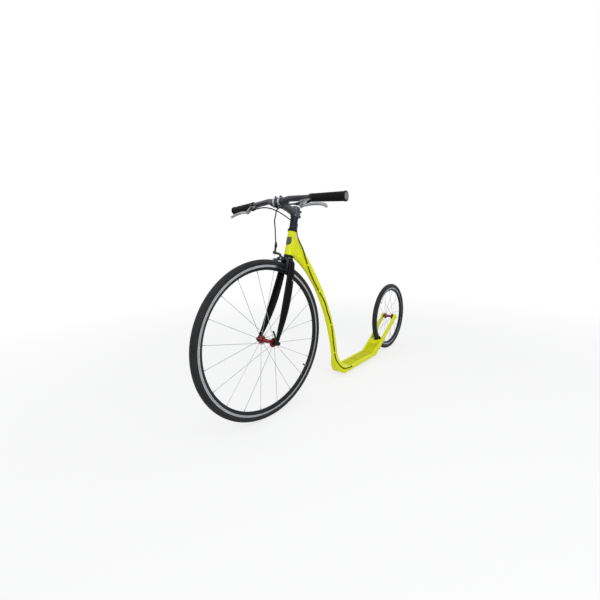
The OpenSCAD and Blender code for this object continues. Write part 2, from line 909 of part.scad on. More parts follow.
module rear_leg() {
  across = [-leg_slope[2], 0, leg_slope[0]];
  steps = 6;
  half = leg_depth / 2;
  color(yellow) difference() {
    union() {
      loft(concat(
        [soft_ring(leg_start, [0, 0, -1], [0, -1, 0], leg_root_half, leg_t / 2, 4, 4, 3)],
        [for (k = [1 : steps])
          soft_ring(leg_point(k / steps), across, [0, -1, 0], half, leg_t / 2, 5, 5, 3)],
        [for (k = [1 : 3])
          let (a = 30 * k)
          soft_ring(
            leg_point(1) + leg_slope * (half * 0.8 * sin(a)), across, [0, -1, 0],
            half * (0.25 + 0.75 * cos(a)), leg_t / 2, 3, 5 - k, 3
          )]
      ));
      at_rear_axle() y_rod(boss_d, rear_old / 2, rear_old / 2 + leg_t, fine);
    }
    at_rear_axle() y_rod(axle_bolt_d + 0.2, 0, rear_old, fine);
    at_rear_axle() y_rod(bolt_head_d + 0.6, rear_old / 2 + leg_t + 1 - bolt_head_h, rear_old, fine);
  }
}

module rear_leg_left() {
  rear_leg();
}

module rear_leg_right() {
  mirror([0, 1, 0]) rear_leg();
}

module headset_cups() {
  bore = steerer_d + 1.4;
  color(black) steering() {
    translate([0, 0, head_low - cup_h]) difference() {
      union() {
        cylinder(d = cup_d, h = cup_h, $fn = fine);
        cylinder(d = steerer_d + 2 * cup_wall, h = cup_h + cup_spigot_h, $fn = fine);
      }
      translate([0, 0, -1]) cylinder(d = bore, h = cup_h + cup_spigot_h + 2, $fn = fine);
      translate([0, 0, -1]) cylinder(d = cup_d - 3, h = head_bearing_h + 1.5, $fn = fine);
    }
    translate([0, 0, head_top]) difference() {
      union() {
        cylinder(d = upper_cup_d, h = upper_cup_h, $fn = fine);
        translate([0, 0, -cup_spigot_h])
          cylinder(d = steerer_d + 2 * cup_wall, h = cup_spigot_h + 1, $fn = fine);
      }
      translate([0, 0, -cup_spigot_h - 1]) cylinder(d = bore, h = 30, $fn = fine);
      translate([0, 0, upper_cup_h - head_bearing_h - 0.5])
        cylinder(d = upper_cup_d - 3, h = head_bearing_h + 1, $fn = fine);
    }
  }
}

// Two bearings held in the cups, running on the steerer
module headset_bearings() {
  color(silver) steering() {
    translate([0, 0, head_low - cup_h + 0.5]) difference() {
      cylinder(d = cup_d - 3, h = head_bearing_h, $fn = fine);
      translate([0, 0, -1]) cylinder(d = steerer_d + 2 * running_gap, h = 12, $fn = fine);
    }
    translate([0, 0, head_top + upper_cup_h - head_bearing_h - 0.5]) difference() {
      cylinder(d = upper_cup_d - 3, h = head_bearing_h, $fn = fine);
      translate([0, 0, -1]) cylinder(d = steerer_d + 2 * running_gap, h = 12, $fn = fine);
    }
  }
}

// ---------- Fork ----------

leg_top_s = fork_length - 28;
leg_top_y = 25;
leg_low_s = 20;
leg_swell = 9;
eyelet_s = 270;

// Place of the fork leg at height s: forward offset and sideways offset
function fork_forward(s) = fork_rake * pow(max(0, 1 - s / leg_top_s), 2);
function fork_aside(s) =
  let (t = 1 - s / leg_top_s)
  mix(leg_top_y, front_old / 2 + dropout_t / 2, pow(max(t, 0), 0.95));

// Half depth and half thickness of the leg at height s; it is deepest halfway up
function leg_half_x(s) =
  let (t = s / leg_top_s)
  mix(7, 17, pow(t, 0.9)) + leg_swell * sin(180 * t);
function leg_half_y(s) = mix(3.5, 9, pow(s / leg_top_s, 0.8));

function fork_ring(s) =
  soft_ring(
    [fork_forward(s), fork_aside(s), s], [1, 0, 0], [0, 1, 0],
    leg_half_x(s), leg_half_y(s), 0.91 * leg_half_x(s), 0.91 * leg_half_y(s), 4
  );

module fork_leg() {
  steps = 12;
  color(black) steering() difference() {
    union() {
      loft([for (k = [0 : steps]) fork_ring(mix(leg_low_s, leg_top_s, k / steps))]);
      translate([0, front_old / 2 + dropout_t, 0]) rotate([90, 0, 0])
        linear_extrude(dropout_t) {
          translate([fork_rake, 0]) circle(d = 22, $fn = fine);
          limb_2d([fork_rake, 0], [fork_forward(leg_low_s), leg_low_s + 2], 13.6);
        }
    }
    translate([fork_rake, 0, 0]) {
      y_rod(axle_tip_d + 0.2, 0, front_old, fine);
      translate([-axle_tip_d / 2 - 0.1, 0, -20]) cube([axle_tip_d + 0.2, front_old, 20]);
    }
    eyelet_axes() x_rod(4, -14, 3);
  }
}

// Axes of a threaded eyelet on the outer face of the left fork leg
module eyelet_axes() {
  s = eyelet_s;
  translate([fork_forward(s) - 5, fork_aside(s) + leg_half_y(s), s])
    rotate([0, 0, 90]) children();
}

module fork_leg_left() {
  fork_leg();
}

module fork_leg_right() {
  mirror([0, 1, 0]) fork_leg();
}

// Small screws that close the eyelets
module eyelet_screws() {
  color(silver) steering() both_sides() eyelet_axes() difference() {
    union() {
      x_rod(4, -10, 1.2);
      x_rod(8, 1.2, 4);
    }
    x_rod(3, 2.4, 5, 6);
  }
}

// Steerer and crown, one forging with sockets for the legs
module fork_crown() {
  color(black) steering() difference() {
    union() {
      cylinder_between(steerer_d, fork_length - crown_h, steerer_top - 2);
      both_sides() hull() {
        translate([0, 0, fork_length - crown_h]) cylinder(d = 2 * crown_face, h = crown_h, $fn = small);
        translate([0, leg_top_y, leg_top_s]) leg_socket();
      }
    }
    cylinder_between(steerer_d - 2 * steerer_wall, fork_length - crown_h - 60, steerer_top);
    x_rod_at(pivot_d, -crown_face - 5, crown_face + 5, front_bolt_r);
    // Hollow under the crown for the tyre
    translate([fork_rake, 0, 0]) y_rod(2 * (front_r + 4.5), -16.5, 16.5, fine);
  }
}

// Flat plate around the top of a leg
module leg_socket() {
  linear_extrude(8) for (sx = [-1, 1])
    translate([sx * 7, 0]) circle(d = 16, $fn = small);
}

module cylinder_between(d, low, high) {
  translate([0, 0, low]) cylinder(d = d, h = high - low, $fn = fine);
}

module x_rod_at(d, low, high, z) {
  translate([0, 0, z]) x_rod(d, low, high, fine);
}

module crown_race() {
  color(silver) steering() translate([0, 0, fork_length]) difference() {
    cylinder(d1 = 2 * crown_face - 2, d2 = cup_d - 6, h = race_h, $fn = fine);
    translate([0, 0, -1]) cylinder(d = steerer_d, h = race_h + 2, $fn = fine);
  }
}

module headset_spacers() {
  thin = 10;
  color(black) steering() translate([0, 0, spacer_low]) difference() {
    union() {
      cylinder(d1 = upper_cup_d, d2 = spacer_d + 2, h = dust_cap_h, $fn = fine);
      translate([0, 0, dust_cap_h]) cylinder(d = spacer_d, h = spacer_h, $fn = fine);
      translate([0, 0, dust_cap_h + spacer_h - thin - 0.4])
        cylinder(d = spacer_d - 0.8, h = 0.4, $fn = fine);
    }
    translate([0, 0, -1]) cylinder(d = steerer_d, h = spacer_h + dust_cap_h + 2, $fn = fine);
  }
}

module stem() {
  head_d = bar_clamp_d + 2 * stem_head_wall;
  color(black) steering() difference() {
    union() {
      translate([0, 0, stem_low]) cylinder(d = stem_clamp_d, h = stem_h, $fn = fine);
      // Slit ears behind the steerer
      translate([-stem_clamp_d / 2 - 6, -9, stem_low + 2]) cube([14, 18, stem_h - 4]);
      hull() {
        translate([10, 0, stem_mid]) cube([4, 30, stem_h - 8], center = true);
        translate([stem_reach - 14, 0, bar_s]) cube([4, 34, 30], center = true);
      }
      translate([stem_reach, 0, bar_s]) y_rod(head_d, -stem_head_w / 2, stem_head_w / 2, fine);
    }
    cylinder_between(steerer_d, stem_low - 1, stem_low + stem_h + 1);
    translate([stem_reach, 0, bar_s]) y_rod(bar_clamp_d, -stem_head_w, stem_head_w, fine);
    translate([stem_reach + 1, -stem_head_w, bar_s - head_d]) cube([head_d, 2 * stem_head_w, 2 * head_d]);
    translate([-stem_clamp_d, -1, stem_low - 1]) cube([stem_clamp_d, 2, stem_h + 2]);
    for (s = [10, stem_h - 10])
      translate([-stem_clamp_d / 2 - 1.5, 0, stem_low + s]) y_rod(5, -20, 20);
    for (y = [-faceplate_y, faceplate_y]) for (z = [-1, 1])
      translate([0, y, bar_s + z * (bar_clamp_d / 2 + 3.2)]) x_rod(4, stem_reach - 18, stem_reach + 20);
  }
}

// Two bright C-shaped bands that hold the bar in the stem
module stem_faceplates() {
  outer = bar_clamp_d + 2 * stem_head_wall;
  color(silver) steering() translate([stem_reach, 0, bar_s]) difference() {
    for (y = [-faceplate_y, faceplate_y]) translate([0, y, 0]) {
      y_rod(outer, -faceplate_w / 2, faceplate_w / 2, fine);
      translate([1.6, -faceplate_w / 2, -outer / 2 - 3]) cube([7, faceplate_w, outer + 6]);
    }
    y_rod(bar_clamp_d, -stem_head_w, stem_head_w, fine);
    translate([-outer + 1.6, -stem_head_w, -outer]) cube([outer, 2 * stem_head_w, 2 * outer]);
    for (y = [-faceplate_y, faceplate_y]) for (z = [-1, 1])
      translate([0, y, z * (bar_clamp_d / 2 + 3.2)]) {
        x_rod(4, -10, 20);
        x_rod(7.6, 8.6, 20);
      }
  }
}

module stem_bolts() {
  pinch_x = -stem_clamp_d / 2 - 1.5;
  color(black) steering() {
    for (y = [-faceplate_y, faceplate_y]) for (z = [-1, 1])
      translate([stem_reach, y, bar_s + z * (bar_clamp_d / 2 + 3.2)]) {
        x_rod(4, -14, 9);
        x_rod(7, 8.6, 12.6);
      }
    for (s = [10, stem_h - 10]) translate([pinch_x, 0, stem_low + s]) {
      y_rod(5, -12, 9);
      y_rod(8, 9, 14);
    }
  }
}

module top_cap() {
  color(black) steering() translate([0, 0, stem_low + stem_h]) {
    cylinder(d1 = stem_clamp_d - 4, d2 = stem_clamp_d - 10, h = 5, $fn = fine);
    translate([0, 0, -12]) cylinder(d = 6, h = 13, $fn = small);
    translate([0, 0, 5]) cylinder(d = 11, h = 2, $fn = small);
  }
}

module handlebar() {
  chamfer = 4;
  shoulder_d = bar_clamp_d - 4;
  bend_bead = 0.6;
  color(black) {
    translate(steer_point([stem_reach, 0, bar_s])) {
      y_rod(bar_clamp_d, -bar_straight_y, bar_straight_y, fine);
      both_sides() translate([0, bar_straight_y, 0]) {
        rotate([-90, 0, 0]) cylinder(d1 = bar_clamp_d, d2 = shoulder_d, h = chamfer, $fn = fine);
        translate([0, -chamfer, 0]) rotate([atan2(bar_rise, taper_run + chamfer) - 90, 0, 0])
          cylinder(
            d1 = shoulder_d, d2 = bar_d, h = norm([bar_rise, taper_run + chamfer]), $fn = fine
          );
      }
    }
    for (side = [-1, 1]) {
      on_bar(side) sphere(d = bar_d + bend_bead, $fn = fine);
      on_bar(side) difference() {
        y_rod(bar_d, 0, grip_end, fine);
        y_rod(bar_d - 2 * bar_wall, taper_run / 2, grip_end + 1, fine);
        // Shallow ring that marks the place of the lever clamp
        translate([0, lever_d - clamp_w / 2 - mark_w - 2, 0]) difference() {
          y_rod(bar_d + 2, 0, mark_w, fine);
          y_rod(bar_d - 2 * mark_depth, -1, mark_w + 1, fine);
        }
      }
    }
  }
}

module grip(side) {
  flange_w = 5;
  color(rubber) on_bar(side, grip_start) difference() {
    union() {
      rotate([-90, 0, 0])
        cylinder(d1 = grip_inner_d, d2 = grip_outer_d, h = grip_length, $fn = fine);
      y_rod(grip_outer_d + 2, grip_length - flange_w, grip_length, fine);
    }
    y_rod(bar_d, -1, grip_length + 1, fine);
  }
}

module grip_left() {
  grip(1);
}

module grip_right() {
  grip(-1);
}

module bar_end_plugs() {
  color(silver) for (side = [-1, 1]) on_bar(side, grip_end) rotate([-90, 0, 0])
    cylinder(d1 = grip_outer_d - 4, d2 = grip_outer_d - 8, h = plug_t, $fn = fine);
}

// Clamp ring with a forked arm to the lever pivot and a boss for the cable
module lever_clamp(side) {
  slot = lever_t + 2 * part_gap;
  arm_h = slot + 2 * cheek_t;
  color(black) lever_axes(side) difference() {
    union() {
      y_rod(clamp_d, -clamp_w / 2, clamp_w / 2, fine);
      translate([0, 0, -arm_h / 2]) linear_extrude(arm_h) {
        limb_2d([20, -3], [lever_offset, -pivot_inset], 12);
        limb_2d([13, 0], [26, -5], 15);
      }
      translate([barrel_x, 0, 0]) y_rod(12, -barrel_start - 14, -barrel_start, fine);
      translate([12, -barrel_start - 8, -5]) cube([barrel_x - 12, 8, 10]);
      translate([12, -barrel_start, -5]) cube([8, barrel_start, 10]);
    }
    y_rod(bar_d, -barrel_end, clamp_w, fine);
    translate([bar_d / 2 + 13, -barrel_start, -slot / 2]) cube([60, 80, slot]);
    translate([barrel_x - 1.5, -barrel_start - 20, -1]) cube([3, 40, 2]);
    translate([barrel_x, 0, 0]) y_rod(5, -barrel_start - 20, -barrel_start - 4, fine);
    translate([lever_offset, -pivot_inset, 0]) cylinder(d = lever_pin_d, h = 40, center = true, $fn = small);
  }
}

module lever_clamp_left() {
  lever_clamp(1);
}

module lever_clamp_right() {
  lever_clamp(-1);
}

module lever_pins() {
  half = lever_t / 2 + part_gap + cheek_t + 1;
  color(silver) for (side = [-1, 1]) lever_axes(side) translate([lever_offset, -pivot_inset, 0])
    cylinder(d = lever_pin_d, h = 2 * half, center = true, $fn = small);
}

module barrel_adjusters() {
  color(black) for (side = [-1, 1]) lever_axes(side) translate([barrel_x, 0, 0]) difference() {
    union() {
      y_rod(adjuster_d, -barrel_end, -barrel_start - 14, fine);
      y_rod(5, -barrel_start - 14, -barrel_start - 6, fine);
    }
    y_rod(wire_d + 1, -barrel_end - 1, 0, small);
  }
}

// Lever blade with its cable hook, turning on the pin
module brake_lever(side) {
  x = lever_offset;
  color(silver) lever_axes(side) difference() {
    translate([0, 0, -lever_t / 2]) linear_extrude(lever_t) {
      translate([x, -pivot_inset]) circle(d = 14, $fn = small);
      chain_2d([
        [x, -pivot_inset], [x - 4, 4], [x - 11, 24], [x - 13, 48], [x - 9, 72],
        [x + 1, 94], [x + 13, 107]
      ], 9);
      chain_2d([[x, -pivot_inset], [barrel_x + 2, -pivot_inset - 2]], 7);
    }
    translate([x, -pivot_inset, 0])
      cylinder(d = lever_pin_d + 2 * running_gap, h = 30, center = true, $fn = small);
  }
}

module brake_lever_left() {
  brake_lever(1);
}

module brake_lever_right() {
  brake_lever(-1);
}

// ---------- Brakes ----------

// Pivot bolt of a side-pull brake, set into its bridge
module brake_bolt(grip_through) {
  color(silver) {
    x_rod(pivot_d, -grip_through, stack_h + 5, fine);
    difference() {
      x_rod(16, 0, washer_t - 0.3, fine);
      x_rod(pivot_d, -1, washer_t, fine);
    }
    x_rod(11, stack_h, stack_h + 4, 6);
  }
}

// Brake arm: side is the rim side of its pad, tail the side of its cable end, layer 0 or 1;
// tail_z holds the heights of the lower and the upper cable end
module brake_arm(side, tail, layer, reach, arm_y, tail_y, tail_z, top, shift) {
  low = washer_t + layer * (arm_t + layer_gap);
  pad_back = rim_w / 2 + pad_gap + pad_t + holder_t;
  upper = side == tail;
  lower_tail_z = tail_z[0];
  upper_tail_z = tail_z[1];
  color(black) difference() {
    union() {
      translate([low, 0, 0]) rotate([90, 0, 90]) linear_extrude(arm_t) {
        circle(d = 20, $fn = fine);
        chain_2d([
          [0, 0], [side * (arm_y - 6), 1], [side * arm_y, -12], [side * (arm_y - 1), 8 - reach],
          [side * (arm_y - 3.5), 0.5 - reach]
        ], 11);
        if (upper) chain_2d([[0, 2], [tail * 20, upper_tail_z - 7], [tail * tail_y, upper_tail_z]], 10);
        else chain_2d([[0, 0], [tail * tail_y, lower_tail_z]], 10);
      }
      translate([arm_mid, 0, -reach]) mirror([0, side < 0 ? 1 : 0, 0]) y_rod(eye_d, pad_back, arm_y + 1);
      if (upper)
        translate([washer_t, tail * tail_y - 5.2, upper_tail_z - 6])
          cube([2 * arm_t + layer_gap, 10.4, 12]);
      if (upper)
        translate([arm_mid, tail * tail_y, upper_tail_z])
          cylinder(d = adjuster_bore + 3, h = top - upper_tail_z, $fn = small);
      if (!upper)
        translate([arm_mid, tail * tail_y, lower_tail_z]) x_rod(9, -6, 6);
      if (!upper)
        translate([arm_mid, tail * tail_y, lower_tail_z])
          cylinder(d = wire_d, h = upper_tail_z + 4 - lower_tail_z, $fn = 16);
    }
    x_rod(pivot_d + 2 * running_gap, -5, 40, fine);
    translate([arm_mid, 0, -reach]) mirror([0, side < 0 ? 1 : 0, 0]) {
      y_rod(stud_d, 0, 60);
      // Flat face for the stud's nut, and the seat that clears the pad's holder
      y_rod(nut_d + 1, arm_y + 1, 60);
      translate([
        shift - pad_length / 2 - 1 - pad_seat_gap, 0, -pad_h / 2 - 0.5 - pad_seat_gap
      ]) cube([pad_length + 2 + 2 * pad_seat_gap, pad_back, pad_h + 1 + 2 * pad_seat_gap]);
    }
    if (upper)
      translate([arm_mid, tail * tail_y, 0]) cylinder(d = adjuster_bore, h = 60, $fn = small);
  }
}

// Brake pad in its holder, with the stud and nut that fix it to the arm
module brake_pad(side, reach, arm_y, shift) {
  inner = rim_w / 2 + pad_gap;
  back = inner + pad_t + holder_t;
  color(rubber) translate([arm_mid, 0, -reach]) mirror([0, side < 0 ? 1 : 0, 0]) {
    translate([shift - pad_length / 2, inner, -pad_h / 2]) cube([pad_length, pad_t, pad_h]);
    translate([shift - pad_length / 2 - 1, inner + pad_t, -pad_h / 2 - 0.5])
      cube([pad_length + 2, holder_t, pad_h + 1]);
    y_rod(stud_d, back - 1, arm_y + 5);
    y_rod(nut_d, arm_y + 1, arm_y + 4.5, 6);
  }
}

front_reach = front_bolt_r - sqrt(pow(front_track_r, 2) - pow(crown_face + arm_mid - fork_rake, 2));
rear_reach = rear_bolt_r - rear_track_r + 1.2;

module front_brake_bolt() {
  back = 2 * crown_face;
  front_brake_axes() brake_bolt(back + 5);
  color(silver) front_brake_axes() x_rod(11, -back - 4, -back, 6);
}

module front_brake_arm_left() {
  front_brake_axes() brake_arm(
    1, -1, 0, front_reach, front_arm_y, front_tail_y, front_tail_z, front_adjuster_top, front_pad_shift
  );
}

module front_brake_arm_right() {
  front_brake_axes() brake_arm(
    -1, -1, 1, front_reach, front_arm_y, front_tail_y, front_tail_z, front_adjuster_top, front_pad_shift
  );
}

module front_pad_left() {
  front_brake_axes() brake_pad(1, front_reach, front_arm_y, front_pad_shift);
}

module front_pad_right() {
  front_brake_axes() brake_pad(-1, front_reach, front_arm_y, front_pad_shift);
}

module rear_brake_bolt() {
  rear_brake_axes() brake_bolt(bridge_t - 1);
}

module rear_brake_arm_left() {
  rear_brake_axes() brake_arm(
    1, 1, 1, rear_reach, rear_arm_y, rear_tail_y, rear_tail_z, rear_adjuster_top, rear_pad_shift
  );
}

module rear_brake_arm_right() {
  rear_brake_axes() brake_arm(
    -1, 1, 0, rear_reach, rear_arm_y, rear_tail_y, rear_tail_z, rear_adjuster_top, rear_pad_shift
  );
}

module rear_pad_left() {
  rear_brake_axes() brake_pad(1, rear_reach, rear_arm_y, rear_pad_shift);
}

module rear_pad_right() {
  rear_brake_axes() brake_pad(-1, rear_reach, rear_arm_y, rear_pad_shift);
}

// ---------- Cables ----------

function turn_x(p, a) = [p[0], p[1] * cos(a) - p[2] * sin(a), p[1] * sin(a) + p[2] * cos(a)];
function turn_y(p, a) = [p[0] * cos(a) + p[2] * sin(a), p[1], p[2] * cos(a) - p[0] * sin(a)];
function turn_z(p, a) = [p[0] * cos(a) - p[1] * sin(a), p[0] * sin(a) + p[1] * cos(a), p[2]];

// Point in the axes of a brake lever, in the scooter's frame
function lever_point(side, p) =
  let (
    on_half = turn_z(turn_x(turn_y(p, lever_droop) + [0, lever_d, 0], -bar_drop), bar_sweep),
    q = on_half + [0, bar_bend_y, bar_rise]
  )
  steer_point([stem_reach, 0, bar_s]) + [q[0], side * q[1], q[2]];

// Point near the middle of the bar, in the steering axes' directions
function near_bar(x, y, s) = steer_point([stem_reach + x, y, bar_s + s]);

// Point beside the main tube: place along its rear edge, distance in from it, and y
function by_tube(t, inward, y) =
  let (
    p = cubic(rear_edge, t),
    ahead = unit(cubic(rear_edge, t + 0.001) - cubic(rear_edge, t - 0.001))
  )
  [p[0] - ahead[1] * inward, y, p[1] + ahead[0] * inward];

// Point on the rear brake's middle plane: sideways offset and distance outward from its pivot
function rear_brake_point(y, z) = [
  rear_x + (rear_bolt_r + z) * cos(rear_brake_angle), y,
  rear_r - (rear_bolt_r + z) * sin(rear_brake_angle)
];

// Point along the axis of the cable entry in the deck
function grommet_point(x) = grommet_at + turn_z(turn_y([x, 0, 0], 8), 180 + grommet_turn);

// Front brake housing: left lever, under the stem, down to the front brake
front_cable_end = [crown_face + arm_mid, -front_tail_y, front_bolt_r + front_adjuster_top + part_gap];
front_cable_points = [
  lever_point(1, [barrel_x, -barrel_end - part_gap, 0]),
  lever_point(1, [barrel_x, -barrel_end - 16, 0]),
  near_bar(20.6, 55, -22.5), near_bar(12, 22, -28), near_bar(2, -5, -34), near_bar(-10.4, -20, -48),
  near_bar(-20.4, -28, -69), near_bar(-35.2, -34, -96),
  steer_point(front_cable_end + [9, 3, 44]),
  steer_point(front_cable_end + [1, 0, 14]),
  steer_point(front_cable_end)
];

// Rear brake housing on the bar: right lever, past the stem, down behind the steerer
crossing = [-30, 0, head_top + 25.6];
crossing_gap = 2;
rear_cable_bar_points = [
  lever_point(-1, [barrel_x, -barrel_end - part_gap, 0]),
  lever_point(-1, [barrel_x, -barrel_end - 16, 0]),
  near_bar(4.3, -64, -18), near_bar(-28, -44, -18.2), near_bar(-70.4, -33, -25), near_bar(-104, -24, -34.4),
  steer_point(crossing + [0, -9, 22]),
  steer_point(crossing)
];

// Rear brake housing on the frame: behind the head, down the left of the tube, through the
// deck and out under the kick plate
inside_y = 34;
rear_cable_frame_points = [
  steer_point(crossing - [0, 0, crossing_gap]),
  steer_point([-30.8, 2, head_top + 11.6]), steer_point([-31.7, 9, head_top - 10]),
  steer_point([-36.2, 18, head_top - 33.6]),
  by_tube(0.102, 13.3, 18.5), by_tube(0.144, 23.8, 18.5), by_tube(0.19, 32, 18), by_tube(0.227, 36.8, 17.5),
  by_tube(0.316, 38.5, 14.5), by_tube(0.403, 34.8, 14.5), by_tube(0.457, 31.6, 16), by_tube(0.528, 27.4, 17.5),
  by_tube(0.598, 31.2, 17.5), by_tube(0.67, 29.8, 18), by_tube(0.729, 28.7, 18.2), by_tube(0.765, 29, 18),
  by_tube(0.852, 34.6, 17), by_tube(0.965, 36.3, 17),
  [deck_front + 55, 19, deck_top + 75], [deck_front + 40, 29.5, deck_top + 39],
  [deck_front + 10, deck_width / 2 - 5, deck_top + 6],
  [deck_front - 22, deck_width / 2 + 2.5, deck_top + 1],
  grommet_point(-12), grommet_point(0), grommet_point(12),
  [deck_join - 60, inside_y, deck_top - 12], [deck_join - 150, inside_y, deck_top - 14],
  [deck_back + 20, inside_y, deck_top - 14], [deck_back - 24, inside_y + 1, deck_top - 19],
  rear_brake_point(rear_tail_y, rear_adjuster_top + 24),
  rear_brake_point(rear_tail_y, rear_adjuster_top + part_gap)
];

module front_cable() {
  color(black) cable(smooth_route(front_cable_points, 4), housing_d);
}

module rear_cable_bar() {
  color(black) cable(smooth_route(rear_cable_bar_points, 4), housing_d);
}

module rear_cable_frame() {
  color(black) cable(smooth_route(rear_cable_frame_points, 3), housing_d);
}

// Steps of the route where a clip holds the housing
clip_steps = [6, 9, 14, 17];

// Saddles on the main tube that hold the housing
module cable_clips() {
  color(yellow) difference() {
    for (k = clip_steps) {
      p = rear_cable_frame_points[k];
      ahead = unit(rear_cable_frame_points[k + 1] - rear_cable_frame_points[k - 1]);
      turn = atan2(ahead[0], ahead[2]);
      translate(p) rotate([0, turn, 0]) difference() {
        translate([0, 0, -5]) cylinder(d = housing_d + 4, h = 10, $fn = small);
        translate([0, 0, -6]) cylinder(d = housing_d + 0.4, h = 12, $fn = small);
      }
    }
    tube_skin();
  }
}

// Rubber plugs: one round the housing where it enters the deck, one in the slot of the plate
module cable_grommets() {
  color(black) grommet_axes() difference() {
    x_rod(grommet_d - 0.2, -6, 6);
    x_rod(housing_d + 1, -10, 10);
  }
  color(black) port_axes() difference() {
    translate([0.1 - port_run / 2, 0.1 - port_w / 2, -port_depth])
      cube([port_run - 0.2, port_w - 0.2, port_depth + 0.5]);
    translate([3 - port_run / 2, -1, -0.4]) cube([port_run - 6, 2, 2]);
  }
}

head_tube();
main_tube();
deck();
kick_plate();
rear_leg_left();
rear_leg_right();
headset_cups();
headset_bearings();
cable_clips();
cable_grommets();
rear_cable_frame();
rear_axle();
rear_axle_bolts();
rear_brake_bolt();
fork_crown();
fork_leg_left();
fork_leg_right();
crown_race();
headset_spacers();
stem();
stem_faceplates();
stem_bolts();
top_cap();
handlebar();
grip_left();
grip_right();
bar_end_plugs();
lever_clamp_left();
lever_clamp_right();
lever_pins();
barrel_adjusters();
front_cable();
rear_cable_bar();
front_brake_bolt();
eyelet_screws();
front_axle();
front_skewer();
brake_lever_left();
brake_lever_right();
front_brake_arm_left();
front_brake_arm_right();
front_pad_left();
front_pad_right();
rear_brake_arm_left();
rear_brake_arm_right();
rear_pad_left();
rear_pad_right();
quick_release_lever();
front_tyre();
front_rim();
front_spokes();
front_hub();
front_inner_tube();
front_bearings();
rear_tyre();
rear_rim();
rear_spokes();
rear_hub();
rear_inner_tube();
rear_bearings();
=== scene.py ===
"""Dresses the kick scooter: paint, rubber and metal, and the finely shaped surfaces of its parts."""

from __future__ import annotations

import logging
import math
from dataclasses import dataclass, field, replace
from enum import Enum

import bpy
import numpy as np
from mathutils import Matrix
from numpy.typing import NDArray

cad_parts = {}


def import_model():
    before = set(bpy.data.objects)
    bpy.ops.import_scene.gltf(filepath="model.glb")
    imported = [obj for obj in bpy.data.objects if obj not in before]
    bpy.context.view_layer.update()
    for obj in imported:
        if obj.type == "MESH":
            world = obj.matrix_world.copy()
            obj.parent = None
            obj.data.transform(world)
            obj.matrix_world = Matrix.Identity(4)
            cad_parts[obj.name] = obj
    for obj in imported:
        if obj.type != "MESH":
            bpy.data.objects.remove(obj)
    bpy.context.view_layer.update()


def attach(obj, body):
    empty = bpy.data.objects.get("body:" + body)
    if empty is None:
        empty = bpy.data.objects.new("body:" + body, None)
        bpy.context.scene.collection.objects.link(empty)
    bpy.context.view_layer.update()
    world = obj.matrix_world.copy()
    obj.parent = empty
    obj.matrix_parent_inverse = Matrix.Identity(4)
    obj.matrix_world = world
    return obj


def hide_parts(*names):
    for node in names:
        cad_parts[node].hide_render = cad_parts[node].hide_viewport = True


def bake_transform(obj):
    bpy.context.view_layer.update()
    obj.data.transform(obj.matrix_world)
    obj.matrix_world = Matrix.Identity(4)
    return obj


Array = NDArray[np.float64]
MM = 0.001
FULL_TURN = 2.0 * math.pi
X, Y, Z = np.eye(3)
log = logging.getLogger("kick_scooter")


# ---------- Finishes ----------


class Grain(Enum):
    """How a surface was made, which sets its fine relief."""

    SPRAYED = "sprayed"
    BLASTED = "blasted"
    DRAWN = "drawn"
    LATHED = "lathed"
    MOULDED = "moulded"
    GRIT = "grit"
    EXTRUDED = "extruded"


def linear(hex_code: str) -> tuple[float, float, float, float]:
    """Turns an sRGB hex value into a linear colour.

    Args:
        hex_code: The colour as #rrggbb.

    Returns:
        Red, green, blue and an alpha of one.
    """
    raw = np.array([int(hex_code[i : i + 2], 16) for i in (1, 3, 5)]) / 255.0
    value = np.where(raw <= 0.04045, raw / 12.92, ((raw + 0.055) / 1.055) ** 2.4)
    return (float(value[0]), float(value[1]), float(value[2]), 1.0)


def add_node(
    tree: bpy.types.NodeTree, kind: str, settings: dict | None = None, links: dict | None = None
) -> bpy.types.Node:
    """Adds a node to a material with its settings and links.

    Args:
        tree: The node tree.
        kind: The node's type.
        settings: Values by socket name or number, or by attribute name.
        links: For each input, the node and the output that feed it.

    Returns:
        The new node.
    """
    node = tree.nodes.new(kind)
    for key, value in (settings or {}).items():
        if isinstance(key, int) or key in node.inputs:
            node.inputs[key].default_value = value
        else:
            setattr(node, key, value)
    for key, (source, output) in (links or {}).items():
        tree.links.new(source.outputs[output], node.inputs[key])
    return node


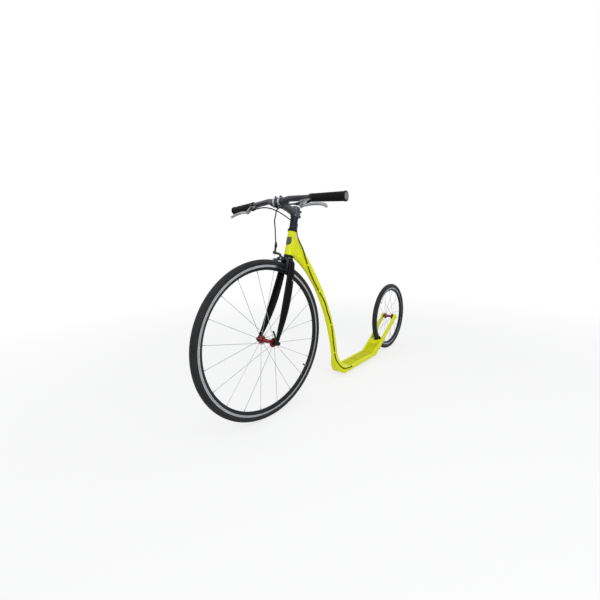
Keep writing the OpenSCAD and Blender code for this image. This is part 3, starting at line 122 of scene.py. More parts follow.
@dataclass(frozen=True)
class Finish:
    """One material: its colours, how it meets light and the relief that its making leaves.

    grain_mm is the spacing of the relief and relief_mm its depth; blotch_mm is the size
    of the soft patches in which the colour drifts from base to drift.
    """

    name: str
    slot: str
    base: str
    drift: str
    grain: Grain
    metallic: float = 0.0
    roughness: float = 0.4
    spread: float = 0.06
    coat: float = 0.0
    coat_roughness: float = 0.05
    specular: float = 0.5
    sheen: float = 0.0
    grain_mm: float = 1.0
    relief_mm: float = 0.02
    blotch_mm: float = 60.0
    stretch: tuple[float, float, float] = (1.0, 1.0, 1.0)
    centre: tuple[float, float, float] = (0.0, 0.0, 0.0)

    def material(self) -> bpy.types.Material:
        """Builds the material, or returns the one already built.

        Returns:
            The material.
        """
        known = bpy.data.materials.get(self.name)
        if known is not None:
            return known
        made = bpy.data.materials.new(self.name)
        made.use_nodes = True
        tree = made.node_tree
        shader = tree.nodes["Principled BSDF"]
        place = add_node(tree, "ShaderNodeTexCoord")
        blotch = add_node(
            tree, "ShaderNodeTexNoise", {"Scale": 1 / (self.blotch_mm * MM), "Detail": 3.0},
            {"Vector": (place, "Object")},
        )
        drift = add_node(
            tree, "ShaderNodeMapRange", {"From Min": 0.35, "From Max": 0.65},
            {"Value": (blotch, 0)},
        )
        colour = add_node(
            tree, "ShaderNodeMix",
            {"data_type": "RGBA", 6: linear(self.base), 7: linear(self.drift)},
            {0: (drift, 0)},
        )
        tree.links.new(colour.outputs[2], shader.inputs["Base Color"])
        gloss = add_node(
            tree, "ShaderNodeTexNoise", {"Scale": 1 / (0.3 * self.blotch_mm * MM), "Detail": 4.0},
            {"Vector": (place, "Object")},
        )
        rough = add_node(
            tree, "ShaderNodeMapRange",
            {"From Min": 0.3, "From Max": 0.7, "To Min": self.roughness - self.spread,
             "To Max": self.roughness + self.spread},
            {"Value": (gloss, 0)},
        )
        tree.links.new(rough.outputs[0], shader.inputs["Roughness"])
        bump = add_node(
            tree, "ShaderNodeBump", {"Strength": 0.8, "Distance": self.relief_mm * MM},
            {"Height": self.relief(tree, place)},
        )
        tree.links.new(bump.outputs[0], shader.inputs["Normal"])
        for socket, value in (
            ("Metallic", self.metallic), ("Coat Weight", self.coat),
            ("Coat Roughness", self.coat_roughness), ("Specular IOR Level", self.specular),
            ("Sheen Weight", self.sheen),
        ):
            shader.inputs[socket].default_value = value
        return made

    def relief(
        self, tree: bpy.types.NodeTree, place: bpy.types.Node
    ) -> tuple[bpy.types.Node, int]:
        """The height pattern of the grain.

        Args:
            tree: The material's node tree.
            place: The Texture Coordinate node.

        Returns:
            The node and output that give the height.
        """
        scale = 1 / (self.grain_mm * MM)
        moved = add_node(
            tree, "ShaderNodeMapping",
            {"vector_type": "POINT", "Location": [-c for c in self.centre], "Scale": self.stretch},
            {"Vector": (place, "Object")},
        )
        if self.grain is Grain.LATHED:
            # Fine grooves at equal steps of the distance from the axle
            flat = add_node(
                tree, "ShaderNodeVectorMath", {"operation": "MULTIPLY", 1: (1.0, 0.0, 1.0)},
                {0: (moved, 0)},
            )
            away = add_node(
                tree, "ShaderNodeVectorMath", {"operation": "LENGTH"}, {0: (flat, 0)}
            )
            phase = add_node(
                tree, "ShaderNodeMath", {"operation": "MULTIPLY", 1: FULL_TURN * scale},
                {0: (away, "Value")},
            )
            return add_node(
                tree, "ShaderNodeMath", {"operation": "SINE"}, {0: (phase, 0)}
            ), 0
        if self.grain is Grain.GRIT:
            return add_node(
                tree, "ShaderNodeTexVoronoi", {"Scale": scale, "feature": "SMOOTH_F1"},
                {"Vector": (moved, 0)},
            ), 0
        detail = {Grain.SPRAYED: 1.0, Grain.BLASTED: 5.0, Grain.MOULDED: 4.0}.get(self.grain, 2.0)
        return add_node(
            tree, "ShaderNodeTexNoise", {"Scale": scale, "Detail": detail},
            {"Vector": (moved, 0)},
        ), 0


# Powder-coated aluminium: a flat bright yellow under a thin gloss, with faint orange peel
PAINT = Finish(
    "powder_coat_yellow", "frame_paint", "#E4E806", "#DEE304", Grain.SPRAYED,
    roughness=0.36, coat=0.1, coat_roughness=0.1, specular=0.2, grain_mm=3.0, relief_mm=0.008,
    blotch_mm=160,
)
# The same coat over a sanded tread: the grip grit breaks up the gloss. Its darker yellow is partly the grit's
# duller tone and partly painted shade for the recess it lies in
SHADED_TREAD = replace(
    PAINT, name="powder_coat_tread_painted_shade", base="#CDCF04", drift="#BDBF02", grain=Grain.GRIT,
    roughness=0.62, coat=0.0, grain_mm=2.6, relief_mm=0.5, blotch_mm=30,
)
# Sprayed enamel on the fork: deep black with soft, clean highlights
ENAMEL = Finish(
    "enamel_black", "fork_paint", "#060606", "#0A0A0B", Grain.SPRAYED,
    roughness=0.3, coat=0.03, coat_roughness=0.12, specular=0.07, grain_mm=3.0, relief_mm=0.008,
    blotch_mm=90,
)
# Blasted and anodised aluminium: satin charcoal with drawn lines along the bar
ANODISED = Finish(
    "anodised_black", "bar_black", "#424245", "#36363A", Grain.DRAWN, metallic=0.8,
    roughness=0.36, specular=0.3, grain_mm=0.5, relief_mm=0.012, blotch_mm=45, stretch=(1.0, 0.06, 1.0),
)
# Forged aluminium, blasted and dyed black: even satin with a fine tooth
FORGED = Finish(
    "forged_black", "brake_black", "#151618", "#1C1D1F", Grain.BLASTED, metallic=0.4,
    roughness=0.42, specular=0.22, grain_mm=0.6, relief_mm=0.02, blotch_mm=18,
)
# Extruded rim, anodised: darker and slightly glossier than the bar
RIM = Finish(
    "anodised_rim", "rim_black", "#17181A", "#1D1E21", Grain.EXTRUDED, metallic=0.5,
    roughness=0.36, specular=0.3, grain_mm=0.8, relief_mm=0.01, blotch_mm=70,
)
# Cast and polished aluminium: bright, with soft streaks from the polishing wheel
POLISHED = Finish(
    "polished_aluminium", "alloy_silver", "#A3A5A7", "#8C8E92", Grain.DRAWN, metallic=1.0,
    roughness=0.26, grain_mm=0.7, relief_mm=0.01, blotch_mm=25, stretch=(1.0, 0.15, 1.0),
)
# Hub shell turned from bar and dyed red: metal that glows in its own colour
HUB_RED = Finish(
    "anodised_red", "hub_red", "#7F2228", "#6B161D", Grain.DRAWN, metallic=0.85,
    roughness=0.3, grain_mm=0.6, relief_mm=0.012, blotch_mm=16, stretch=(0.3, 1.0, 0.3),
)
# Drawn stainless wire and turned steel: cool grey with tight highlights
STEEL = Finish(
    "stainless_steel", "steel", "#B4B6B9", "#A0A3A7", Grain.DRAWN, metallic=1.0,
    roughness=0.3, grain_mm=0.5, relief_mm=0.008, blotch_mm=20,
)
# Black-oxide screws: oily near-black steel
OXIDE = Finish(
    "black_oxide_steel", "bolt_black", "#151517", "#1D1D20", Grain.BLASTED, metallic=0.5,
    roughness=0.38, specular=0.3, grain_mm=0.4, relief_mm=0.01, blotch_mm=8,
)
# Vulcanised tyre: matt, with a grey bloom where the mould released it
TYRE = Finish(
    "vulcanised_rubber", "tyre_rubber", "#1E1E1F", "#272728", Grain.MOULDED,
    roughness=0.6, specular=0.18, sheen=0.02, grain_mm=0.9, relief_mm=0.04, blotch_mm=35,
)
# Moulded brake block: plain dark rubber, slightly dusty
PAD = Finish(
    "brake_block_rubber", "soft_rubber", "#232324", "#2F2E2D", Grain.MOULDED,
    roughness=0.78, specular=0.3, sheen=0.2, grain_mm=0.6, relief_mm=0.05, blotch_mm=9,
)
# Soft thermoplastic rubber of the grips: velvety black that still catches a broad highlight
GRIP = Finish(
    "thermoplastic_rubber", "grip_rubber", "#141414", "#191919", Grain.MOULDED,
    roughness=0.55, specular=0.06, grain_mm=0.7, relief_mm=0.05, blotch_mm=30,
)
# Extruded jacket of the brake housing: smooth, slightly waxy vinyl
JACKET = Finish(
    "vinyl_jacket", "housing", "#0B0B0C", "#101011", Grain.EXTRUDED,
    roughness=0.42, specular=0.16, grain_mm=1.4, relief_mm=0.01, blotch_mm=30,
)
# Moulded nylon of the bar ends: mid grey with a pearly, uneven gloss
NYLON = Finish(
    "nylon_grey", "plug_grey", "#727477", "#626467", Grain.MOULDED,
    roughness=0.45, grain_mm=1.0, relief_mm=0.02, blotch_mm=12,
)
# Moulded black trim: grommets, seals and valve caps
TRIM = Finish(
    "moulded_trim", "trim_black", "#0C0C0D", "#121213", Grain.MOULDED,
    roughness=0.5, specular=0.16, grain_mm=0.8, relief_mm=0.02, blotch_mm=14,
)
# Stem: a forging whose broad facets are brushed, so they catch a paler streak
STEM = replace(
    ANODISED, name="brushed_stem", base="#4E4F53", drift="#3A3B3F", roughness=0.28, stretch=(0.1, 1.0, 1.0),
)
# Brake arms: forged and blasted, dark grey metal that shows its highlights
BRAKE = replace(
    FORGED, name="blasted_brake", base="#3A3B3E", drift="#2C2D30", metallic=0.75, roughness=0.34,
)
# Spacers: the same anodising, blue-black and a little darker than the stem
SPACER = replace(
    ANODISED, name="anodised_spacer", base="#2A2B33", drift="#222329", metallic=0.6,
)
# Brake brackets and levers' arms: blasted aluminium under clear lacquer, soft mid grey
SATIN = replace(
    FORGED, name="satin_aluminium", slot="alloy_silver", base="#7E8084", drift="#74767A",
    metallic=0.85, roughness=0.36,
)
# Enamelled blank badge: dark grey plate in front of the steering head
BADGE = replace(
    FORGED, name="blank_badge", slot="trim_black", base="#5B5F4C", drift="#4C503F",
    metallic=0.4, roughness=0.35,
)
# Turned braking band: bare bright aluminium with concentric tool marks, drawn coarse to show
BAND = replace(
    POLISHED, name="turned_band", slot="rim_black", base="#C2C4C7", drift="#AFB1B4",
    grain=Grain.LATHED, roughness=0.34, grain_mm=1.2, relief_mm=0.02, stretch=(1.0, 1.0, 1.0),
)


# ---------- Shapes ----------


def hand_of(side: int) -> str:
    """The name of a side: left for 1, right for -1."""
    return "left" if side > 0 else "right"


def unit(v: Array) -> Array:
    """Vectors scaled to length one."""
    return v / np.maximum(np.linalg.norm(v, axis=-1, keepdims=True), 1e-12)


def eased(t: Array) -> Array:
    """Zero to one with a level start and end: 3t squared less 2t cubed."""
    t = np.clip(t, 0.0, 1.0)
    return t * t * (3.0 - 2.0 * t)


def arc(u: float, v: float, r: float, start: float, stop: float, steps: int = 16) -> Array:
    """Points on a circle about (u, v), from one angle in degrees to another."""
    a = np.radians(np.linspace(start, stop, steps))
    return np.stack([u + r * np.cos(a), v + r * np.sin(a)], axis=1)


def fillet(corners: list[tuple[float, float, float]], closed: bool = False, steps: int = 4) -> Array:
    """Rounds the corners of an outline.

    Each corner is replaced by a parabola that leaves both sides at the radius over the
    tangent of half the corner's angle, and never takes more than half a side.

    Args:
        corners: Two coordinates and a radius for each corner.
        closed: Whether the last corner joins the first.
        steps: Pieces in each rounding.

    Returns:
        The outline's points.
    """
    raw = np.array(corners, float)
    p, parts = raw[:, :2], []
    for k, (_, _, radius) in enumerate(raw):
        if radius <= 0 or (not closed and k in (0, len(p) - 1)):
            parts.append(p[k][None])
            continue
        back, ahead = p[k - 1] - p[k], p[(k + 1) % len(p)] - p[k]
        lb, la = np.linalg.norm(back), np.linalg.norm(ahead)
        half = 0.5 * math.acos(float(np.clip(back @ ahead / (lb * la), -1.0, 1.0)))
        reach = min(radius / max(math.tan(half), 1e-6), 0.48 * lb, 0.48 * la)
        s, e = p[k] + back / lb * reach, p[k] + ahead / la * reach
        t = np.linspace(0, 1, steps + 1)[:, None]
        parts.append((1 - t) ** 2 * s + 2 * (1 - t) * t * p[k] + t * t * e)
    return np.vstack(parts)


def through(points: Array, t: Array) -> Array:
    """A smooth curve through points: the cubic of each span leaves a point along the line
    that joins its two neighbours.

    Args:
        points: The points, in order.
        t: Places along the curve, where a whole number is a point.

    Returns:
        One point for each place.
    """
    last = len(points) - 1
    k = np.clip(np.floor(t).astype(int), 0, last - 1)
    f = (t - k)[:, None]
    p0, p1 = points[np.maximum(k - 1, 0)], points[k]
    p2, p3 = points[k + 1], points[np.minimum(k + 2, last)]
    return 0.5 * (
        2 * p1 + (p2 - p0) * f + (2 * p0 - 5 * p1 + 4 * p2 - p3) * f**2
        + (3 * p1 - p0 - 3 * p2 + p3) * f**3
    )


def bezier(corners: list[Array], t: Array) -> Array:
    """Points of a Bezier curve.

    Args:
        corners: Its corner points, of which the first and last lie on the curve.
        t: Places on it, from 0 to 1.

    Returns:
        The points, one row a place.
    """
    t = np.asarray(t, float)[:, None]
    n = len(corners) - 1
    return sum(
        math.comb(n, k) * (1 - t) ** (n - k) * t**k * np.asarray(corner, float)
        for k, corner in enumerate(corners)
    )


def resampled(path: Array, spacing: float, closed: bool = False) -> Array:
    """The same path with points at equal steps of length.

    Args:
        path: Points of the path.
        spacing: Length of a step.
        closed: Whether the path returns to its first point.

    Returns:
        The new points, at least five of them on an open path.
    """
    line = np.vstack([path, path[:1]]) if closed else path
    run = np.concatenate([[0.0], np.cumsum(np.linalg.norm(np.diff(line, axis=0), axis=1))])
    count = max(int(run[-1] / spacing), 4)
    s = np.linspace(0, run[-1], count + 1)[: count if closed else count + 1]
    return np.stack([np.interp(s, run, line[:, i]) for i in range(3)], axis=1)


@dataclass(frozen=True)
class Axes:
    """A place and three directions in which a part is drawn, in millimetres."""

    origin: Array
    x: Array = field(default_factory=lambda: np.array([1.0, 0.0, 0.0]))
    y: Array = field(default_factory=lambda: np.array([0.0, 1.0, 0.0]))
    z: Array = field(default_factory=lambda: np.array([0.0, 0.0, 1.0]))

    def place(self, points: Array) -> Array:
        """Points of these axes in the scooter's frame."""
        p = np.asarray(points, float)
        return self.origin + p[..., :1] * self.x + p[..., 1:2] * self.y + p[..., 2:3] * self.z

    def at(self, x: float = 0.0, y: float = 0.0, z: float = 0.0) -> Axes:
        """The same directions from another point."""
        return replace(self, origin=self.place(np.array([x, y, z])))

    def about_y(self, degrees: float) -> Axes:
        """The axes turned about their own y."""
        c, s = math.cos(math.radians(degrees)), math.sin(math.radians(degrees))
        return replace(self, x=c * self.x - s * self.z, z=s * self.x + c * self.z)

    def mirrored(self) -> Axes:
        """The axes with y the other way."""
        return replace(self, y=-self.y)

    def sided(self, way: int) -> Axes:
        """The axes for the left (1), or mirrored for the right (-1)."""
        return self if way > 0 else self.mirrored()

    def lathe(self, way: str) -> tuple[Array, Array, Array]:
        """The named direction and the two across it."""
        order = {"x": (self.x, self.y, self.z), "y": (self.y, self.z, self.x)}
        return order.get(way, (self.z, self.x, self.y))


@dataclass
class Shell:
    """One closed surface: points in millimetres, four-sided faces and its end faces."""

    points: Array
    quads: NDArray[np.int64]
    caps: list[NDArray[np.int64]]
    finish: NDArray[np.int64]

    def outward(self) -> Shell:
        """Turns the faces outward, so that the volume under the triangles is positive.

        Returns:
            This shell.
        """
        q = self.quads
        fans = [np.stack([np.full(len(c) - 2, c[0]), c[1:-1], c[2:]], axis=1) for c in self.caps]
        tri = np.vstack([q[:, [0, 1, 2]], q[:, [0, 2, 3]], *fans])
        p = self.points - self.points.mean(axis=0)
        volume = np.einsum("ij,ij->", p[tri[:, 0]], np.cross(p[tri[:, 1]], p[tri[:, 2]]))
        if volume < 0:
            self.quads = q[:, ::-1]
            self.caps = [c[::-1] for c in self.caps]
        return self


def skin(grid: Array, closed: bool = False, finish: int = 0, bands: Array | None = None) -> Shell:
    """A closed surface over a grid of points whose rows are rings.

    Args:
        grid: Rows by columns by three, in millimetres.
        closed: Whether the last row joins the first; if not, both ends get a face.
        finish: The number of the finish for all faces.
        bands: A finish number for each gap between rows, instead.

    Returns:
        The shell, facing outward.
    """
    rows, cols = grid.shape[:2]
    r = np.arange(rows if closed else rows - 1)[:, None]
    c = np.arange(cols)[None, :]
    nxt, right = (r + 1) % rows * cols, (c + 1) % cols
    quads = np.stack([r * cols + c, r * cols + right, nxt + right, nxt + c], axis=-1)
    ends = [] if closed else [np.arange(cols)[::-1], np.arange(cols) + (rows - 1) * cols]
    marks = np.full(len(r), finish) if bands is None else np.asarray(bands, int)
    faces = np.concatenate([np.repeat(marks, cols), np.full(len(ends), marks[0])])
    return Shell(grid.reshape(-1, 3), quads.reshape(-1, 4), ends, faces).outward()


def turned(
    axes: Axes, way: str, profile: Array, steps: int = 64, closed: bool = False,
    finish: int = 0, bands: Array | None = None, relief: Array | None = None,
) -> Shell:
    """A profile turned about one of the axes.

    Args:
        axes: Where it is drawn.
        way: The axis to turn about.
        profile: Rows of distance along the axis and radius.
        steps: Columns round the axis.
        closed: Whether the profile is a loop, as in a ring.
        finish: The finish number.
        bands: A finish number for each gap in the profile.
        relief: Change of radius, rows by columns.

    Returns:
        The shell.
    """
    along, u, v = axes.lathe(way)
    a = np.linspace(0, FULL_TURN, steps, endpoint=False)
    radius = profile[:, 1:2] + (0.0 if relief is None else relief) + 0.0 * a[None, :]
    spin = np.cos(a)[:, None] * u + np.sin(a)[:, None] * v
    grid = axes.origin + profile[:, :1, None] * along + radius[:, :, None] * spin[None]
    return skin(grid, closed, finish, bands)


def knurled(
    profile: Array, low: float, high: float, ridges: int, depth: float, steps: int, least: float = 0.0
) -> Array:
    """Relief of ridges along the axis on part of a profile: a cosine of the turn.

    Args:
        profile: Rows of distance along the axis and radius.
        low: Where the ridges start along the axis.
        high: Where they end.
        ridges: How many there are.
        depth: Half the depth of a ridge.
        steps: Columns round the axis.
        least: Rows whose radius isn't above this stay smooth.

    Returns:
        Change of radius, rows by columns.
    """
    turn = np.linspace(0, FULL_TURN, steps, endpoint=False)
    place, radius = profile[:, :1], profile[:, 1:]
    here = (place > low) & (place < high) & (radius > least)
    return np.where(here, depth * np.cos(ridges * turn)[None] - depth, 0.0)


def rod(
    axes: Axes, way: str, low: float, high: float, r: float, edge: float = 0.5,
    steps: int = 40, finish: int = 0, r_high: float | None = None,
) -> Shell:
    """A turned rod with eased edges, between two places along an axis.

    Args:
        axes: Where it is drawn.
        way: The axis that it is turned about.
        low: Where it starts along that axis.
        high: Where it ends.
        r: Radius at its start.
        edge: Radius of the eased edges.
        steps: Points round it.
        finish: Index of its finish.
        r_high: Radius at its end, if another.

    Returns:
        The rod.
    """
    top = r if r_high is None else r_high
    return turned(axes, way, fillet([
        (low, 0.3 * r, 0), (low, r, edge), (high, top, edge), (high, 0.3 * top, 0),
    ]), steps, finish=finish)


def ring(
    axes: Axes, way: str, low: float, high: float, inner: float, outer: float,
    edge: float = 0.5, steps: int = 64, finish: int = 0,
) -> Shell:
    """A turned ring with eased edges.

    Args:
        axes: Where it is drawn.
        way: The axis that it is turned about.
        low: Where it starts along that axis.
        high: Where it ends.
        inner: Radius of its hole.
        outer: Radius of its outside.
        edge: Radius of the eased edges.
        steps: Points round it.
        finish: Index of its finish.

    Returns:
        The ring.
    """
    return turned(axes, way, fillet([
        (low, inner, 0), (low, outer, edge), (high, outer, edge), (high, inner, 0),
    ], closed=True), steps, closed=True, finish=finish)


def hexagon(axes: Axes, way: str, low: float, high: float, flats: float, finish: int = 0) -> Shell:
    """A hexagonal nut or head with chamfered corners.

    Args:
        axes: Where it is drawn.
        way: The axis that it is turned about.
        low: Where it starts along that axis.
        high: Where it ends.
        flats: Distance across its flats.
        finish: Index of its finish.

    Returns:
        The nut.
    """
    r = flats / math.sqrt(3.0)
    cut = 0.35
    profile = np.array([[low, 0.84 * r], [low + cut, r], [high - cut, r], [high, 0.84 * r]])
    return turned(axes, way, profile, 6, finish=finish)


def socket_head(axes: Axes, way: str, low: float, high: float, r: float, finish: int = 0) -> Shell:
    """A round screw head with a hexagonal socket sunk in its far face.

    The socket's radius follows a hexagon: the flat's distance over the cosine of the
    angle from the middle of the nearest flat.

    Args:
        axes: Where it is drawn.
        way: The axis that it is turned about.
        low: Where it starts along that axis.
        high: Where its socket is.
        r: Radius of the head.
        finish: Index of its finish.

    Returns:
        The head.
    """
    way_up = 1.0 if high > low else -1.0
    a = np.linspace(0, FULL_TURN, 48, endpoint=False)
    from_flat = (a + math.pi / 6) % (math.pi / 3) - math.pi / 6
    six = 0.5 * r / np.cos(from_flat)
    profile = np.vstack([
        fillet([(low, 0.4 * r, 0), (low, r, 0.2), (high, r, 0.5), (high, 0.66 * r, 0)]),
        [[high, 0.56 * r], [high - way_up * 0.6 * abs(high - low), 0.5 * r]],
    ])
    relief = np.zeros((len(profile), 48))
    relief[-2:] = six - profile[-2:, 1:2]
    return turned(axes, way, profile, 48, finish=finish, relief=relief)


def softened(
    centres: Array, a: Array, b: Array, ha: Array, hb: Array, ra: Array, rb: Array, n: int = 7
) -> Array:
    """Rings of rounded rectangles.

    A ring's point is its centre, plus the side's half size less the corner's radius, plus
    the radius times the cosine or sine of the turn, along each of the two directions.

    Args:
        centres: One centre for each ring.
        a: First direction of each ring.
        b: Second direction of each ring.
        ha: Half size along a.
        hb: Half size along b.
        ra: Corner radius along a.
        rb: Corner radius along b.
        n: Steps in each corner.

    Returns:
        Rings by points by three.
    """
    turn = np.radians(90 * np.arange(4)[:, None] + 90 * np.arange(n + 1) / n).ravel()
    sa = np.repeat([1, -1, -1, 1], n + 1)
    sb = np.repeat([1, 1, -1, -1], n + 1)
    count = len(centres)
    ha, hb, ra, rb = (np.broadcast_to(np.asarray(v, float), (count,))[:, None] for v in (ha, hb, ra, rb))
    u = sa * (ha - ra) + ra * np.cos(turn)
    v = sb * (hb - rb) + rb * np.sin(turn)
    return centres[:, None] + a[:, None] * u[..., None] + b[:, None] * v[..., None]


def blocks(
    axes: Axes, centres: Array, ha: Array, hb: Array, ra: float | Array, rb: float | Array,
    n: int, finish: int = 0,
) -> Shell:
    """A closed bar along x whose sections are rounded rectangles square to x.

    Args:
        axes: Where it is drawn.
        centres: One centre for each section.
        ha: Half sizes along y.
        hb: Half sizes along z.
        ra: Corner radius along y.
        rb: Corner radius along z.
        n: Steps in each corner.
        finish: Index of its finish.

    Returns:
        The bar.
    """
    y, z = (np.broadcast_to(np.array(d), centres.shape) for d in ((0.0, 1.0, 0.0), (0.0, 0.0, 1.0)))
    return skin(axes.place(softened(centres, y, z, ha, hb, ra, rb, n)), finish=finish)


def tube(
    path: Array, radius: float | Array, sides: int = 12, closed: bool = False,
    hint: tuple[float, float, float] = (0.23, 0.91, 0.35), finish: int = 0,
) -> Shell:
    """A round tube along a path: circles square to its direction.

    Args:
        path: Points of its middle line.
        radius: One radius, or one for each point.
        sides: Points round each circle.
        closed: Whether the path returns to its first point.
        hint: A direction that the path never takes, from which the circles start.
        finish: Index of its finish.

    Returns:
        The tube.
    """
    if closed:
        ahead = unit(np.roll(path, -1, axis=0) - np.roll(path, 1, axis=0))
    else:
        ahead = unit(np.gradient(path, axis=0))
    side = unit(np.cross(ahead, np.array(hint)))
    up = np.cross(side, ahead)
    a = np.linspace(0, FULL_TURN, sides, endpoint=False)
    r = np.broadcast_to(np.asarray(radius, float), (len(path),))[:, None, None]
    grid = path[:, None] + r * (
        np.cos(a)[None, :, None] * side[:, None] + np.sin(a)[None, :, None] * up[:, None]
    )
    return skin(grid, closed, finish)


def weld(path: Array, radius: float = 1.6, finish: int = 0) -> Shell:
    """A weld bead round a joint: a tube whose radius swells at each 2.4 mm ripple.

    Args:
        path: Points of the joint, as a closed path.
        radius: Middle radius of the bead.
        finish: Index of its finish.

    Returns:
        The bead.
    """
    line = resampled(path, 0.8, closed=True)
    swell = 1.0 + 0.14 * np.cos(FULL_TURN * np.arange(len(line)) / 3.0)
    return tube(line, radius * swell, 8, closed=True, finish=finish)


def forged(
    axes: Axes, spine: list[tuple[float, float, float]], widths: list[float],
    depths: list[float], normal: tuple[float, float, float], count: int = 44,
    corner: float = 0.62, finish: int = 0,
) -> Shell:
    """A forged bar: rounded rectangles along a smooth spine that close in round ends.

    Near an end the width follows a circle, the root of one less the square of how far the
    section is inside the end's radius, and the depth follows a tighter one.

    Args:
        axes: Where it is drawn.
        spine: Points of the spine; the round ends reach half a width beyond them.
        widths: Width across the spine at each point.
        depths: Depth along the normal at each point.
        normal: The direction of the depth.
        count: Sections along the bar.
        corner: Corner radius as a share of the half depth.
        finish: The finish number.

    Returns:
        The shell.
    """
    p = np.array(spine, float)
    p[0] -= unit(p[1] - p[0]) * widths[0] / 2
    p[-1] += unit(p[-1] - p[-2]) * widths[-1] / 2
    knots = np.arange(len(p))
    t = (1 - np.cos(np.linspace(0, math.pi, count))) / 2
    t = (0.5 * t + 0.5 * np.linspace(0, 1, count)) * knots[-1]
    line = through(p, t)
    half_w, half_d = np.interp(t, knots, widths) / 2, np.interp(t, knots, depths) / 2
    run = np.concatenate([[0.0], np.cumsum(np.linalg.norm(np.diff(line, axis=0), axis=1))])
    edge = np.minimum(run, run[-1] - run)
    in_w = np.clip(edge / half_w, 0.0, 1.0)
    in_d = np.clip(edge / (0.5 * half_d), 0.0, 1.0)
    half_w = half_w * np.sqrt(np.clip(1 - (1 - in_w) ** 2, 0.01, 1.0))
    half_d = half_d * np.sqrt(np.clip(1 - 0.6 * (1 - in_d) ** 2, 0.05, 1.0))
    n = np.broadcast_to(np.array(normal, float), line.shape)
    side = unit(np.cross(n, unit(np.gradient(line, axis=0))))
    r = corner * np.minimum(half_w, half_d)
    return skin(axes.place(softened(line, side, n, half_w, half_d, r, r, 4)), finish=finish)


def plate(
    axes: Axes, way: str, outline: Array, low: float, high: float, edge: float = 0.6,
    finish: int = 0,
) -> Shell:
    """A flat plate with eased edges.

    The outline's points move inward along their own normals by the edge's quarter circle
    near each face.

    Args:
        axes: Where it is drawn.
        way: The axis along the plate's thickness.
        outline: The closed outline in the two directions across that axis.
        low: Start of the thickness.
        high: End of the thickness.
        edge: Radius of the eased edges.
        finish: The finish number.

    Returns:
        The shell.
    """
    along, u, v = axes.lathe(way)
    step = np.roll(outline, -1, axis=0) - np.roll(outline, 1, axis=0)
    normal = unit(np.stack([step[:, 1], -step[:, 0]], axis=1))
    x, y = outline[:, 0], outline[:, 1]
    if (x * np.roll(y, -1) - y * np.roll(x, -1)).sum() < 0:
        normal = -normal
    a = np.radians([0, 45, 90])
    inset = np.concatenate([edge * (1 - np.sin(a)), edge * (1 - np.sin(a[::-1]))])
    level = np.concatenate([low + edge * (1 - np.cos(a)), high - edge * (1 - np.cos(a[::-1]))])
    flat = outline[None] - inset[:, None, None] * normal[None]
    grid = (
        axes.origin + level[:, None, None] * along + flat[..., :1] * u + flat[..., 1:2] * v
    )
    return skin(grid, finish=finish)


class Piece:
    """A finished piece: shells in one mesh that ride on one body."""

    def __init__(self, name: str, *finishes: Finish) -> None:
        """Starts a piece with its finishes.

        Args:
            name: Name of the piece.
            finishes: Its finishes, in the order of the shells' indices.
        """
        self.name = name
        self.finishes = finishes
        self.shells: list[Shell] = []

    def add(self, *shells: Shell) -> Piece:
        """Adds shells and returns the piece."""
        self.shells.extend(shells)
        return self

    def build(
        self, body: str | None, *replaced: str, sharp: float = 38.0
    ) -> bpy.types.Object:
        """Makes the mesh and hangs it on its body.

        Args:
            body: The body that it rides on, or None to leave it on no body.
            replaced: The CAD nodes that it stands for.
            sharp: Angle in degrees above which an edge stays sharp.

        Returns:
            The object.
        """
        offsets = np.cumsum([0] + [len(s.points) for s in self.shells])
        points = np.vstack([s.points for s in self.shells]) * MM
        quads = [s.quads + o for s, o in zip(self.shells, offsets)]
        loops = [part for q, s, o in zip(quads, self.shells, offsets)
                 for part in (q.ravel(), *(c + o for c in s.caps))]
        sizes = [part for q, s in zip(quads, self.shells)
                 for part in (np.full(len(q), 4), np.array([len(c) for c in s.caps], int))]
        corners, counts = np.concatenate(loops), np.concatenate(sizes).astype(int)
        mesh = bpy.data.meshes.new(self.name)
        mesh.vertices.add(len(points))
        mesh.vertices.foreach_set("co", points.ravel())
        mesh.loops.add(len(corners))
        mesh.loops.foreach_set("vertex_index", corners)
        mesh.polygons.add(len(counts))
        mesh.polygons.foreach_set("loop_start", np.concatenate([[0], np.cumsum(counts)[:-1]]))
        mesh.polygons.foreach_set("material_index", np.concatenate([s.finish for s in self.shells]))
        mesh.update(calc_edges=True)
        mesh.validate()
        mesh.shade_smooth()
        mesh.set_sharp_from_angle(angle=math.radians(sharp))
        for finish in self.finishes:
            mesh.materials.append(finish.material())
        made = bpy.data.objects.new(self.name, mesh)
        bpy.context.scene.collection.objects.link(made)
        if body is not None:
            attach(made, body)
        if replaced:
            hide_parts(*replaced)
        log.info("%s: %d faces", self.name, len(counts))
        return made


# ---------- The scooter's own axes ----------


